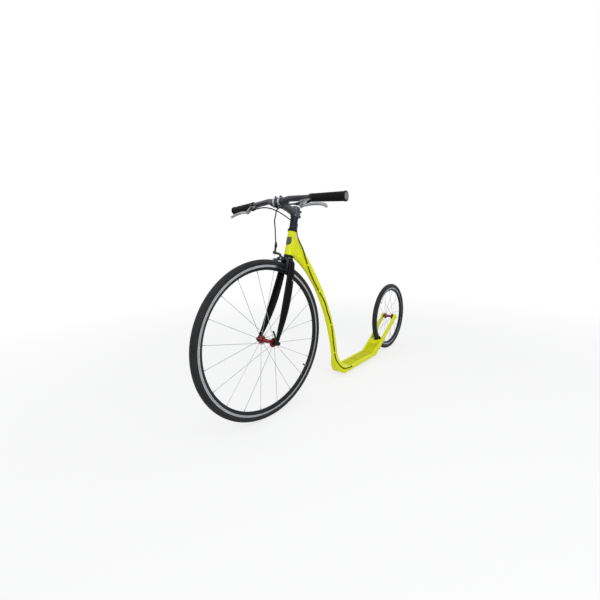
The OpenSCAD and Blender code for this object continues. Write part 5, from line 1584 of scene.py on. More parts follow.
@dataclass
class Caliper:
    """A side-pull brake: two forged arms on one bolt, with pads, cable ends and a spring.

    tail is the side of its cable ends; the arm on that side carries the adjuster when
    its pad is on the same side.
    """

    side: str
    axes: Axes
    mount: str
    reach: float
    arm_y: float
    tail_y: float
    tail: int
    tails: tuple[float, float]
    top: float
    pad_shift: float
    wheel_x: float
    track_r: float
    low_layer: int
    arm_t: float = 6.0
    washer: float = 5.0
    gap: float = 0.5

    def build(self) -> None:
        """Builds both arms, their pads, the bolt and the spring."""
        for way in (1, -1):
            self.arm(way)
            self.pad(way)
        self.bolt()

    def layer_mid(self, way: int) -> float:
        """Middle of an arm's thickness: the layer nearest the bridge is the low one."""
        layer = 0 if way == self.low_layer else 1
        return self.washer + layer * (self.arm_t + self.gap) + self.arm_t / 2

    def arm(self, way: int) -> None:
        """One arm, with its eye, its tail and its end of the cable.

        Args:
            way: 1 for the arm whose pad is on the left, -1 for the right.
        """
        m, mid, y, t = self.layer_mid(way), LAYOUT.arm_mid, self.arm_y, self.tail
        low_z, high_z = self.tails
        hand = hand_of(way)
        made = Piece(f"{self.side}_caliper_{hand}", BRAKE, OXIDE, STEEL)
        made.add(ring(self.axes, "x", m - 2.95, m + 2.95, 3.1, 9.8, 0.9, 64))
        spine = [
            (m, way * 4.0, 1.0), (m, way * (y - 8), 1.6), (m, way * (y - 1.6), -3.6), (m, way * y, -12.0),
            (m, way * (y - 1), 8 - self.reach), (m, way * (y - 3.0), 1.6 - self.reach),
        ]
        made.add(forged(
            self.axes, spine, [17.0, 12.6, 12.0, 10.8, 10.2, 11.0], [5.9] * 6, (1.0, 0.0, 0.0), 60
        ))
        if way == t:
            made.add(forged(
                self.axes, [(m, t, 3.0), (m, t * 12.0, 0.4 * high_z + 1), (m, t * 20, high_z - 7),
                            (m, t * self.tail_y, high_z)],
                [14.0, 11.0, 10.0, 10.4], [5.9] * 4, (1.0, 0.0, 0.0), 40,
            ))
            at = self.axes.at(mid, t * self.tail_y, 0)
            made.add(forged(
                at, [(-5.6, 0, high_z), (0, 0, high_z), (5.6, 0, high_z)],
                [9.6, 10.2, 9.6], [11.6, 11.8, 11.6], (0.0, 0.0, 1.0), 24,
            ))
            collar = fillet([
                (high_z, 3.1, 0), (high_z, 4.4, 0), (self.top - 10, 4.4, 0.3), (self.top - 9.6, 3.8, 0.2),
                (self.top - 9, 4.4, 0.3), (self.top - 1, 4.4, 0.6), (self.top - 0.1, 3.4, 0.3),
                (self.top - 0.1, 3.05, 0),
            ], closed=True)
            relief = knurled(collar, self.top - 8.6, self.top - 1.6, 14, 0.25, 64, 4.0)
            made.add(turned(at, "z", collar, 64, True, finish=1, relief=relief))
        else:
            made.add(forged(
                self.axes, [(m, t, 0.0), (m, t * 0.5 * self.tail_y, 0.4 * low_z - 1.4),
                            (m, t * self.tail_y, low_z)],
                [14.0, 9.6, 9.8], [5.9] * 3, (1.0, 0.0, 0.0), 40,
            ))
            at = self.axes.at(mid, t * self.tail_y, low_z)
            made.add(rod(at, "x", -5.9, 4.2, 4.4, 0.4, 40, finish=2))
            made.add(hexagon(at, "x", 1.6, 5.9, 8.0, 2))
            line = at.place(np.stack([
                np.zeros(9), np.zeros(9), np.linspace(-3.5, high_z + 3.5 - low_z, 9)
            ], axis=1))
            made.add(tube(line, 0.75, 8, hint=(0.9, 0.1, 0.2), finish=2))
        for shell in made.shells:
            shell.points = self.seat(shell.points, way)
        made.build(f"{self.side}_brake_{hand}", f"{self.side}_brake_arm_{hand}")

    def seat(self, points: Array, way: int) -> Array:
        """Draws an arm's foot outward to a flat face, so that it lies against the pad's holder.

        Args:
            points: The arm's points.
            way: The side of its pad.

        Returns:
            The points, none of them within the holder.
        """
        a = self.axes
        local = np.stack([(points - a.origin) @ v for v in (a.x, a.y, a.z)], axis=1)
        face, half_height, inmost = 20.75, 6.4, 9.0
        near = (np.abs(local[:, 2] + self.reach) < half_height) & (way * local[:, 1] > inmost)
        local[:, 1] = np.where(near & (way * local[:, 1] < face), way * face, local[:, 1])
        return a.place(local)

    def pad(self, way: int) -> None:
        """A pad curved to the rim, in its holder, with its stud and nut.

        The block's middle line keeps the braking band's radius from the axle.

        Args:
            way: The side of the rim that it presses.
        """
        hand = hand_of(way)
        x = np.linspace(-24.0, 24.0, 25)
        grow = np.concatenate([[-24.0, -23.7], x[1:-1], [23.7, 24.0]])
        place_x = LAYOUT.arm_mid + self.pad_shift + grow
        middle = (self.wheel_x, -self.reach - math.sqrt(
            self.track_r**2 - (LAYOUT.arm_mid - self.wheel_x) ** 2
        ))
        z = middle[1] + np.sqrt(self.track_r**2 - (place_x - middle[0]) ** 2)
        z = -self.reach + np.clip(z + self.reach, -1.2, 0.6) * 0.6
        ease = np.ones(len(grow))
        ease[[0, -1]] = 0.82
        made = Piece(f"{self.side}_brake_block_{hand}", PAD, OXIDE)
        for low, high, half, grows, finish in (
            (11.65, 17.6, 3.5, ease, 0), (17.6, 20.5, 4.0, ease, 1),
        ):
            centre = np.stack([place_x, way * np.full(len(grow), (low + high) / 2), z], axis=1)
            half_y = (high - low) / 2 * np.ones(len(grow))
            made.add(blocks(self.axes, centre, half_y, half * grows, 0.9, 1.1, 4, finish))
        at = self.axes.at(LAYOUT.arm_mid, 0, -self.reach)
        at = at.sided(way)
        made.add(rod(at, "y", 19.8, self.arm_y + 4.9, 2.45, 0.3, 24, finish=1))
        made.add(ring(at, "y", self.arm_y + 2.2, self.arm_y + 3.0, 2.6, 5.6, 0.2, 40, 1))
        made.add(hexagon(at, "y", self.arm_y + 1.2, self.arm_y + 4.4, 9.4, 1))
        made.build(f"{self.side}_brake_{hand}", f"{self.side}_pad_{hand}")

    def bolt(self) -> None:
        """The pivot bolt with its washer and dome nut, and the spring behind the arms."""
        made = Piece(f"{self.side}_pivot_bolt", STEEL, OXIDE)
        stack = self.washer + 2 * self.arm_t + self.gap + 0.8
        back = -48.0 if self.mount == "fork" else -13.0
        made.add(rod(self.axes, "x", back, stack + 4.9, 2.95, 0.4, 32))
        made.add(ring(self.axes, "x", 0.1, self.washer - 0.5, 3.0, 7.9, 0.7, 48, 1))
        made.add(ring(self.axes, "x", stack - 0.6, stack + 0.2, 3.0, 6.6, 0.2, 48, 0))
        made.add(hexagon(self.axes, "x", stack + 0.1, stack + 3.9, 10.8, 1))
        if self.mount == "fork":
            made.add(hexagon(self.axes, "x", -47.9, -44.1, 10.8, 1))
        for way in (1, -1):
            y = self.arm_y
            coil = np.array([
                (2.4, way * 3.0, 6.0), (2.4, way * 8.5, 5.5), (2.6, way * 14.0, 1.0),
                (2.6, way * (y - 9), -6.5), (2.8, way * (y - 4.5), -12.0),
            ])
            line = through(coil, np.linspace(0, 4, 30))
            made.add(tube(self.axes.place(line), 0.85, 8, hint=(0.9, 0.1, 0.3)))
        made.build(self.mount, f"{self.side}_brake_bolt")


# ---------- Frame ----------


@dataclass
class Chassis:
    """The painted frame: head tube, swept main tube, deck, kick plate and rear legs."""

    deck_front: float = 10.0
    deck_join: float = -40.0
    deck_back: float = -334.0
    low_z: float = 22.0
    top_z: float = 49.0
    half_w: float = 48.0
    corner: float = 10.0
    boot_top: float = 135.0
    tube_back: float = 31.0
    tube_depth: float = 42.0
    tube_half: float = 15.0
    kick_end: float = -440.0
    kick_turn: float = 31.0
    leg_t: float = 15.0
    leg_depth: float = 31.0
    notch_r: float = 30.0
    recess: float = 2.3
    axes: Axes = field(default_factory=lambda: Axes(np.zeros(3)))

    def build(self) -> None:
        """Builds every piece of the frame."""
        self.head()
        self.tube()
        self.deck()
        self.kick_plate()
        for side in (1, -1):
            self.rear_leg(side)
        self.axles()

    def head(self) -> None:
        """The head tube with its flared ends, the weld behind it and a blank badge."""
        s = LAYOUT.steering
        low, top = LAYOUT.head_low, LAYOUT.head_top
        tube = Piece("steering_head", PAINT)
        tube.add(turned(s, "z", fillet([
            (low, 17.6, 0), (low, 20.6, 0.4), (low + 1.2, 21.0, 0.6), (low + 7, 20.6, 3), (low + 10, 20.1, 3),
            (top - 10, 18.6, 3), (top - 7, 18.9, 2), (top - 1.0, 19.0, 0.4), (top, 18.7, 0.2), (top, 17.6, 0),
        ], closed=True), 120, True))
        middle, half = 420.0, 42.0
        ring_path = softened(
            np.zeros((1, 3)), Y[None], Z[None], 14.8, half, 12.5, 14.0, 20
        )[0]
        y, z = ring_path[:, 1], ring_path[:, 2] + middle
        r = 20.6 - 2.0 * (z - low) / (top - low)
        tube.add(weld(s.place(np.stack([-np.sqrt(r**2 - y**2) - 0.2, y, z], axis=1)), 1.9))
        tube.build("frame", "head_tube")
        self.badge()

    def badge(self) -> None:
        """A blank shield wrapped round the front of the head tube, with a raised rim.

        A point of its flat outline becomes an angle, its distance across over the tube's
        radius, and keeps its height.
        """
        s = LAYOUT.steering
        outline = fillet([
            (-18.0, 16.5, 4), (0, 18.0, 9), (18.0, 16.5, 4), (17.0, -12.0, 7), (0, -18.0, 8),
            (-17.0, -12.0, 7),
        ], closed=True, steps=6)
        line = np.hstack([outline, outline[:, :1] * 0])
        outline = resampled(line, 1.2, closed=True)[:, :2]
        share = np.array([0.03, 0.3, 0.6, 0.86, 0.97, 1.0, 1.0, 0.985, 0.93, 0.9, 0.86, 0.6, 0.3, 0.03])
        level = np.array([-1, -1, -1, -1, -1, -0.8, 0.7, 1.0, 1.0, 0.65, 0.55, 0.55, 0.55, 0.55])
        flat = outline[None] * share[:, None, None]
        z = flat[..., 1] + 435.0
        r = 20.2 - 1.6 * (z - LAYOUT.head_low) / (LAYOUT.head_top - LAYOUT.head_low)
        turn = flat[..., 0] / r
        reach = r + level[:, None]
        grid = s.place(np.stack([reach * np.cos(turn), reach * np.sin(turn), z], axis=-1))
        Piece("blank_head_badge", BADGE).add(skin(grid)).build("frame")

    def edges(self, t: Array) -> tuple[Array, Array]:
        """Front and rear edges of the main tube, seen from the side: one cubic each.

        Args:
            t: Places from the head, 0, to the boot, 1.

        Returns:
            Points of the front edge and of the rear edge, as x and z.
        """
        s = LAYOUT.steering
        front = s.place(np.array([0.0, 0.0, LAYOUT.head_low + 4]))[[0, 2]]
        rear = s.place(np.array([0.0, 0.0, LAYOUT.head_top - 6]))[[0, 2]]
        peak = s.place(np.array([0.0, 0.0, LAYOUT.head_top + 5]))[[0, 2]]
        f_rise, r_rise = front[1] - self.boot_top, rear[1] - self.boot_top
        return (
            bezier([
                front, front + (-174.0, -0.151 * f_rise),
                (self.tube_back + self.tube_depth + 23, self.boot_top + 0.366 * f_rise),
                (self.tube_back + self.tube_depth, self.boot_top),
            ], t),
            bezier([
                peak, rear + (-195.0, -0.3605 * r_rise),
                (self.tube_back + 37, self.boot_top + 0.418 * r_rise),
                (self.tube_back, self.boot_top + 3),
            ], t),
        )

    def tube(self) -> None:
        """The main tube: a soft-cornered box that sweeps down and spreads into the deck.

        Its rings lie between the front and the rear edge. In the boot the half width grows
        from the tube's to the deck's by the 1.3th power of the way down.
        """
        front, rear = self.edges(np.linspace(0.0, 1.0, 90))
        u = np.linspace(0, 1, 40)[1:]
        boot_f = bezier([
            (self.tube_back + self.tube_depth, self.boot_top),
            (self.deck_front + 58, self.low_z + 50), (self.deck_front, self.low_z),
        ], u)
        boot_b = bezier([
            (self.tube_back, self.boot_top + 3),
            (self.deck_front + 5, self.top_z + 12), (self.deck_join + 14, self.top_z + 1),
        ], u)
        f = np.vstack([front, boot_f, [[self.deck_join + 2, self.low_z], [self.deck_join, self.low_z]]])
        b = np.vstack([rear, boot_b, [[self.deck_join + 3, self.top_z + 0.1], [self.deck_join, self.top_z]]])
        t = np.concatenate([np.zeros(90), u, [1.0, 1.0]])
        half_w = self.tube_half + (self.half_w - self.tube_half) * t**1.3
        ra = 18.9 + (self.corner - 18.9) * t
        rb = 13.8 + (self.corner - 13.8) * t
        mid, across = (f + b) / 2, unit(f - b)
        zero = np.zeros(len(f))
        centres = np.stack([mid[:, 0], zero, mid[:, 1]], axis=1)
        a = np.stack([across[:, 0], zero, across[:, 1]], axis=1)
        side = np.broadcast_to(-Y, a.shape)
        half = np.linalg.norm(f - b, axis=1) / 2
        ra = np.minimum(ra, 0.95 * half)
        rings = softened(centres, a, side, half, half_w, ra, rb, 10)
        tube = Piece("swept_main_tube", PAINT)
        tube.add(skin(rings))
        seam = softened(
            np.array([[self.deck_join + 0.6, 0.0, (self.low_z + self.top_z) / 2]]),
            Y[None], Z[None], self.half_w - 0.2, 13.3, self.corner, self.corner, 12,
        )[0]
        tube.add(weld(seam, 1.1))
        tube.build("frame", "main_tube")

    def deck(self) -> None:
        """The deck: a flat box with two raised edges and a gritty tread let in between."""
        w, low, top = self.half_w, self.low_z, self.top_z
        x = np.array([self.deck_join + 0.5, -49.0, -52.0, -54.5, -60, -130, -200, -270, self.deck_back])
        sunk = self.recess * np.array([0.0, 0.0, 0.05, 1.0, 1.0, 1.0, 1.0, 1.0, 1.0])
        rings = []
        for at, drop in zip(x, sunk):
            section = fillet([
                (-w, low, self.corner), (w, low, self.corner), (w, top, self.corner), (35.4, top, 0.7),
                (34.0, top - drop, 0.5), (-34.0, top - drop, 0.5), (-35.4, top, 0.7), (-w, top, self.corner),
            ], closed=True, steps=8)
            rings.append(np.column_stack([np.full(len(section), at), section]))
        deck = Piece("deck_box", PAINT)
        deck.add(skin(np.stack(rings)))
        deck.build("frame", "deck", sharp=50)
        outline = fillet([
            (33.4, -56.0, 7), (33.4, self.deck_back + 1, 0.5), (-33.4, self.deck_back + 1, 0.5),
            (-33.4, -56.0, 7),
        ], closed=True, steps=6)
        # The tread's darker yellow is partly painted shade in the deck's recess
        tread = Piece("deck_tread", SHADED_TREAD)
        tread.add(plate(
            self.axes, "z", outline[:, ::-1], top - self.recess - 0.8, top - self.recess + 0.4, 0.3
        ))
        tread.build("frame")

    def slope(self) -> Axes:
        """Axes on the kick plate's face: x back up the slope, z out of the plate."""
        at = Axes(np.array([self.deck_back, 0.0, self.top_z])).about_y(self.kick_turn)
        return replace(at, x=-at.x, y=-at.y)

    def kick_plate(self) -> None:
        """The kick plate: a sloping channel, rounded along its edges and notched for the tyre.

        Each ring is the outline at one distance across: its top follows the slope less an
        edge radius, its end follows the notch's circle, and its underside is the plate's
        within the channel and the wall's outside it.
        """
        rise = math.tan(math.radians(self.kick_turn))
        floor_x = self.deck_back - 18.0
        steps = np.array([0.0, 0.4, 1.0, 1.8, 3.0, 4.4])
        rim = self.half_w - steps
        wall = self.half_w - 5.0
        y = np.concatenate([
            rim, [wall + 0.02, wall - 0.02, 38.0, 36.0, 34.6], np.linspace(31, 24.2, 4),
            np.linspace(23.6, 0, 16),
        ])
        y = np.concatenate([y, -y[-2::-1]])
        across = np.abs(y)
        dip = 4.0 - np.sqrt(np.clip(16.0 - np.clip(across - (self.half_w - 4.0), 0, 4) ** 2, 0, 16))
        end = np.where(
            across < 24.0, -458.0 + np.sqrt(np.clip(self.notch_r**2 - across**2, 0, None)), self.kick_end
        )
        share = np.linspace(0, 1, 20)
        over = self.deck_back + (end[:, None] - self.deck_back) * share
        sunk = self.recess * (across < 35.3)
        top = self.top_z + (self.deck_back - over) * rise - (dip + sunk)[:, None]
        inside = (across < wall)[:, None]
        under_x = over[:, ::-1]
        plate_z = self.top_z + (self.deck_back - under_x) * rise - 5.5
        wall_z = self.low_z + np.clip(floor_x - under_x, 0, None) * rise + dip[:, None]
        under = np.where(inside, plate_z, wall_z)
        lip_x, lip_z = end[:, None] - 0.4, 0.5 * (top[:, -1:] + under[:, :1])
        xs = np.hstack([over, lip_x, under_x])
        zs = np.hstack([top, lip_z, under])
        grid = np.stack([xs, np.broadcast_to(y[:, None], xs.shape), zs], axis=-1)
        kick = Piece("kick_channel", PAINT)
        kick.add(skin(grid))
        brake = LAYOUT.rear_brake
        centres = np.zeros((7, 3))
        centres[:, 0] = (-21.0, -20.2, -19.0, -10.0, -1.2, -0.4, 0.0)
        easing = np.array([0.9, 0.97, 1.0, 1.0, 1.0, 0.97, 0.93])
        kick.add(blocks(brake, centres, 11.0 * easing, 8.9 * easing, 2.4, 2.4, 5))
        ripple = 1.1 + 0.14 * np.cos(np.linspace(-44, 44, 160) * FULL_TURN / 2.4)
        seam = np.stack([
            np.full(160, self.deck_back - 0.2), np.linspace(-44, 44, 160), np.full(160, self.top_z - 0.15)
        ], axis=1)
        kick.add(tube(seam, ripple, 8))
        kick.build("frame", "kick_plate", sharp=42)
        face = self.slope()
        outline = fillet(
            [(2.0, -33.4, 2), (80.0, -33.4, 9), (80.0, 33.4, 9), (2.0, 33.4, 2)], closed=True, steps=5
        )
        # The tread's darker yellow is partly painted shade in the kick plate's recess
        tread = Piece("kick_tread", SHADED_TREAD)
        tread.add(plate(face, "z", outline, -self.recess - 0.4, 0.35 - self.recess, 0.35))
        tread.build("frame")
        port = Piece("kick_port_plug", TRIM)
        upper, lower, aside = 88.4, 59.6, 30.0
        ends, inner = (
            np.vstack([arc(upper, 0, r, -90, 90, 12), arc(lower, 0, r, 90, 270, 12)]) for r in (5.4, 3.8)
        )
        grid = np.stack([
            np.column_stack([loop[:, 0], loop[:, 1] - aside, np.full(len(loop), z - self.recess)])
            for loop, z in ((ends, -0.6), (ends, 0.75), (0.5 * ends + 0.5 * inner, 0.85),
                            (inner, 0.3), (inner, -0.1))
        ])
        port.add(skin(face.place(grid)))
        port.build("frame")

    def rear_leg(self, side: int) -> None:
        """A rear leg: a soft-cornered strut from the kick plate to its axle boss.

        Its middle line runs straight, while its distance across follows an eased step.

        Args:
            side: 1 for the left, -1 for the right.
        """
        rise = math.tan(math.radians(self.kick_turn))
        high = self.top_z + (self.deck_back - self.kick_end) * rise
        low = self.low_z + (self.deck_back - 18.0 - self.kick_end) * rise
        start = np.array([self.kick_end, self.half_w - self.leg_t / 2, (high + low) / 2])
        stop = np.array([LAYOUT.rear_x - 4.0, 39.0 + self.leg_t / 2, LAYOUT.rear_r + 4.0])
        run = stop - start
        ahead = unit(run * (1, 0, 1))
        up = np.array([-ahead[2], 0.0, ahead[0]])
        t = np.linspace(0, 1, 40)
        line = start + run * t[:, None]
        line[:, 1] = start[1] + run[1] * eased(1.2 * t)
        line = np.vstack([start + (1.5, 0, -0.9), line])
        t = np.concatenate([[0.0], t])
        first = eased(np.clip(t * 5, 0, 1))[:, None]
        across = unit(-Z * (1 - first) + up * first)
        root = (high - low) / 2
        half = root + (self.leg_depth / 2 - root) * first[:, 0]
        tail = np.radians(np.array([20, 40, 58, 72, 82]))
        line = np.vstack([line, line[-1] + ahead * (15.5 * 0.8 * np.sin(tail))[:, None]])
        across = np.vstack([across, np.broadcast_to(up, (5, 3))])
        half = np.concatenate([half, 15.5 * (0.25 + 0.75 * np.cos(tail))])
        inward = np.broadcast_to(-Y, line.shape)
        ha = self.leg_t / 2 * np.ones(len(line))
        rings = softened(line, across, inward, half, ha, np.minimum(5.5, 0.9 * half), 5.5, 8)
        flip = np.array([1.0, float(side), 1.0])
        hand = hand_of(side)
        leg = Piece(f"rear_strut_{hand}", PAINT)
        leg.add(skin(rings * flip))
        at = LAYOUT.rear_axle.sided(side)
        leg.add(turned(at, "y", fillet([
            (39.0, 4.2, 0), (39.0, 16.6, 0.6), (40.2, 17.0, 0.8), (52.8, 17.0, 0.8), (53.9, 16.2, 0.8),
            (53.9, 6.4, 0.3), (50.2, 6.4, 0), (50.2, 4.2, 0),
        ], closed=True), 72, True))
        seam = softened(
            start[None] + 0.6 * X, Z[None], Y[None], root - 0.3, self.leg_t / 2 - 0.3, 4.5, 4.5, 10
        )[0]
        leg.add(weld(seam * flip, 1.2))
        leg.build("frame", f"rear_leg_{hand}")

    def axles(self) -> None:
        """Both axles with their locknuts, and the button screws sunk in the rear bosses."""
        at = LAYOUT.rear_axle
        axle = Piece("rear_axle_set", STEEL)
        axle.add(rod(at, "y", -38.9, 38.9, 4.9, 0.4, 40))
        screws = Piece("rear_axle_screws", STEEL)
        for way in (1, -1):
            part = at.sided(way)
            axle.add(hexagon(part, "y", 34.6, 38.8, 15.6))
            screws.add(rod(part, "y", 25, 51, 3.9, 0.3, 32))
            screws.add(socket_head(part, "y", 50.3, 54.3, 5.9))
        axle.build("frame", "rear_axle")
        screws.build("frame", "rear_axle_bolts")
        front = Piece("front_axle_set", OXIDE)
        hub = LAYOUT.front_axle
        front.add(rod(hub, "y", -56.6, 56.6, 4.3, 0.4, 40))
        for way in (1, -1):
            part = hub.sided(way)
            front.add(ring(part, "y", 45.6, 49.9, 4.0, 7.9, 0.5, 48))
        front.build("fork", "front_axle")


# ---------- Cables ----------


@dataclass
class Cables:
    """Brake housings, held along their whole length, with their clips and end caps."""

    radius: float = 2.5
    frame: Chassis = field(default_factory=Chassis)

    def near_bar(self, *points: tuple[float, float, float]) -> Array:
        """Points near the middle of the bar, in the steering axes' directions."""
        return LAYOUT.bar_middle.place(np.array(points))

    def from_lever(self, side: int) -> Array:
        """The first two points of a housing: on a lever's cable axis, 0 and 16 mm beyond it."""
        return LAYOUT.lever(side).place(np.array([(41.0, -67.0, 0.0), (41.0, -83.0, 0.0)]))

    def by_tube(self, t: float, inward: float, y: float) -> Array:
        """A point beside the main tube: a distance square to its rear edge.

        Args:
            t: Share of the tube's length, from the head down.
            inward: Distance from the rear edge into the tube's outline.
            y: Distance to the left of the middle plane.

        Returns:
            The point.
        """
        near = self.frame.edges(np.array([t - 0.001, t, t + 0.001]))[1]
        ahead = unit(near[2] - near[0])
        return np.array([near[1, 0] - ahead[1] * inward, y, near[1, 1] + ahead[0] * inward])

    def front_route(self) -> Array:
        """Route of the front brake's housing, from the left lever to the front brake.

        Returns:
            Its points, listed one by one.
        """
        s = LAYOUT.steering
        end = np.array([33.25, -53.0, 403.4])
        return np.vstack([
            self.from_lever(1),
            self.near_bar(
                (20.6, 55, -22.5), (12, 22, -28), (2, -5, -34), (-10.4, -20, -48), (-18.4, -30, -69),
                (-31.2, -34, -96),
            ),
            s.place(end + np.array([(9.0, -1.5, 44), (1, 0, 14), (0, 0, 0)])),
        ])

    def rear_route(self) -> Array:
        """Route of the rear brake's housing: over the bar, behind the head, down the left of
        the main tube, through the deck and out under the kick plate.

        Returns:
            Its points, listed one by one.
        """
        s, f, top = LAYOUT.steering, self.frame, LAYOUT.head_top
        beside = (
            (0.102, 13.3, 18.5), (0.144, 23.8, 18.5), (0.19, 32, 18), (0.227, 36.8, 17.5),
            (0.316, 38.5, 14.5), (0.403, 34.8, 14.5), (0.457, 31.6, 16), (0.528, 27.4, 17.5),
            (0.598, 31.2, 17.5), (0.67, 29.8, 18), (0.729, 28.7, 18.2), (0.765, 29, 18),
            (0.852, 34.6, 17), (0.965, 36.3, 17),
        )
        entry = self.entry()
        brake = LAYOUT.rear_brake.at(x=LAYOUT.arm_mid)
        return np.vstack([
            self.from_lever(-1),
            self.near_bar((4.3, -64, -18), (-28, -44, -18.2), (-70.4, -33, -25), (-104, -24, -34.4)),
            s.place(np.array([
                (-30, -9, top + 47.6), (-29.5, -6, top + 25.2), (-29.5, -3, top + 11.6),
                (-30.5, 5, top - 10), (-36.2, 18, top - 33.6),
            ])),
            [self.by_tube(*p) for p in beside],
            [
                (f.deck_front + 55, 19, f.top_z + 75), (f.deck_front + 40, 29.5, f.top_z + 39),
                (f.deck_front + 10, f.half_w - 5, f.top_z + 6),
                (f.deck_front - 22, f.half_w + 2.5, f.top_z + 1),
            ],
            entry.place(np.array([-12.0, 0.0, 12.0])[:, None] * X),
            [
                (f.deck_join - 60, 34, f.top_z - 12), (f.deck_join - 150, 34, f.top_z - 14),
                (f.deck_back + 20, 34, f.top_z - 14), (f.deck_back - 24, 35, f.top_z - 19),
            ],
            brake.place(np.array([(0, 36.0, 63.0), (0, 36.0, 39.4)])),
        ])

    def entry(self) -> Axes:
        """Axes of the hole where the housing enters the deck: x back into the deck.

        Returns:
            The axes.
        """
        f = self.frame
        a = math.radians(180.0 + 22.0)
        x = np.array([math.cos(a), math.sin(a), 0.0])
        y = np.array([-math.sin(a), math.cos(a), 0.0])
        at = Axes(np.array([f.deck_join - 14, f.half_w - 2, f.top_z - 5.0]), x, y)
        return at.about_y(8.0)

    def build(self) -> None:
        """Builds both housings, their end caps, the clips on the tube and the deck's grommet."""
        for name, route in (("front", self.front_route()), ("rear", self.rear_route())):
            line = resampled(through(route, np.linspace(0, len(route) - 1, 12 * len(route))), 3.0)
            jacket = Piece(f"{name}_brake_housing", JACKET)
            jacket.add(tube(line, self.radius, 12))
            if name == "front":
                jacket.build("fork", "front_cable")
            else:
                made = jacket.build(None, "rear_cable_bar", "rear_cable_frame")
                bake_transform(made)
        self.ferrules()
        self.clips()

    def cap(self, end: Array, before: Array) -> Shell:
        """A crimped metal cap over the last 14 mm of a housing.

        Args:
            end: The housing's last point.
            before: The point of its route before that.

        Returns:
            The cap.
        """
        way = unit(before - end)
        side = unit(np.cross(way, np.array([0.2, 0.9, 0.4])))
        at = Axes(end, way, side, np.cross(way, side))
        return turned(at, "x", fillet([
            (0.0, 1.0, 0), (0.0, 2.2, 0.3), (1.2, 2.95, 0.3), (9.0, 2.95, 0.3), (9.4, 2.7, 0.2),
            (10.4, 2.7, 0.2), (10.8, 2.95, 0.2), (13.6, 2.95, 0.4), (14.0, 2.6, 0), (14.0, 1.0, 0),
        ]), 32)

    def ferrules(self) -> None:
        """The caps at the four housing ends."""
        front, rear = self.front_route(), self.rear_route()
        for name, body, end, before in (
            ("front_lever", "fork", front[0], front[1]), ("front_brake", "fork", front[-1], front[-2]),
            ("rear_lever", "fork", rear[0], rear[1]), ("rear_brake", "frame", rear[-1], rear[-2]),
        ):
            Piece(f"housing_cap_{name}", FORGED).add(self.cap(end, before)).build(body)
        line = resampled(through(front, np.linspace(len(front) - 2.4, len(front) - 1, 60)), 0.7)
        swell = np.interp(np.linspace(0, 1, len(line)), [0, 0.08, 0.5, 1], [2.7, 3.6, 5.6, 6.0])
        Piece("front_brake_boot", TRIM).add(tube(line, swell, 24)).build("fork")

    def clips(self) -> None:
        """Painted saddles welded to the tube round the housing, and the grommet in the deck."""
        route = self.rear_route()
        saddles = Piece("housing_saddles", PAINT)
        for k in (13, 16, 21, 24):
            way = unit(route[k + 1] - route[k - 1])
            out = unit(Y - way * (Y @ way))
            at = Axes(route[k], np.cross(out, way), out, way)
            saddles.add(ring(at, "z", -5, 5, 2.7, 4.4, 0.8, 40))
            saddles.add(forged(
                at, [(0, -3.6, -4.4), (0, -3.6, 0), (0, -3.6, 4.4)],
                [5.6, 6.2, 5.6], [3.4, 3.6, 3.4], (0, 1, 0), 20,
            ))
        saddles.build("frame", "cable_clips")
        grommet = Piece("deck_grommet", TRIM)
        grommet.add(turned(self.entry(), "x", fillet([
            (-6, 3.0, 0), (-6, 4.9, 0.6), (-3, 4.9, 0), (5.9, 4.9, 0), (5.9, 3.0, 0),
        ], closed=True), 40, True))
        grommet.build("frame", "cable_grommets")


# ---------- Light, floor and camera ----------


def placed(
    name: str, data: bpy.types.ID, right: Array, up: Array, back: Array, origin: Array
) -> bpy.types.Object:
    """Links a camera or lamp to the scene at a point, turned to three directions.

    Args:
        name: Name of the object.
        data: Its camera or light.
        right: Where its x points.
        up: Where its y points.
        back: Where its z points, away from where it looks.
        origin: Its place in metres.

    Returns:
        The object.
    """
    made = bpy.data.objects.new(name, data)
    bpy.context.scene.collection.objects.link(made)
    matrix = np.eye(4)
    matrix[:3, 0], matrix[:3, 1], matrix[:3, 2], matrix[:3, 3] = right, up, back, origin
    made.matrix_world = Matrix(matrix.tolist())
    return made


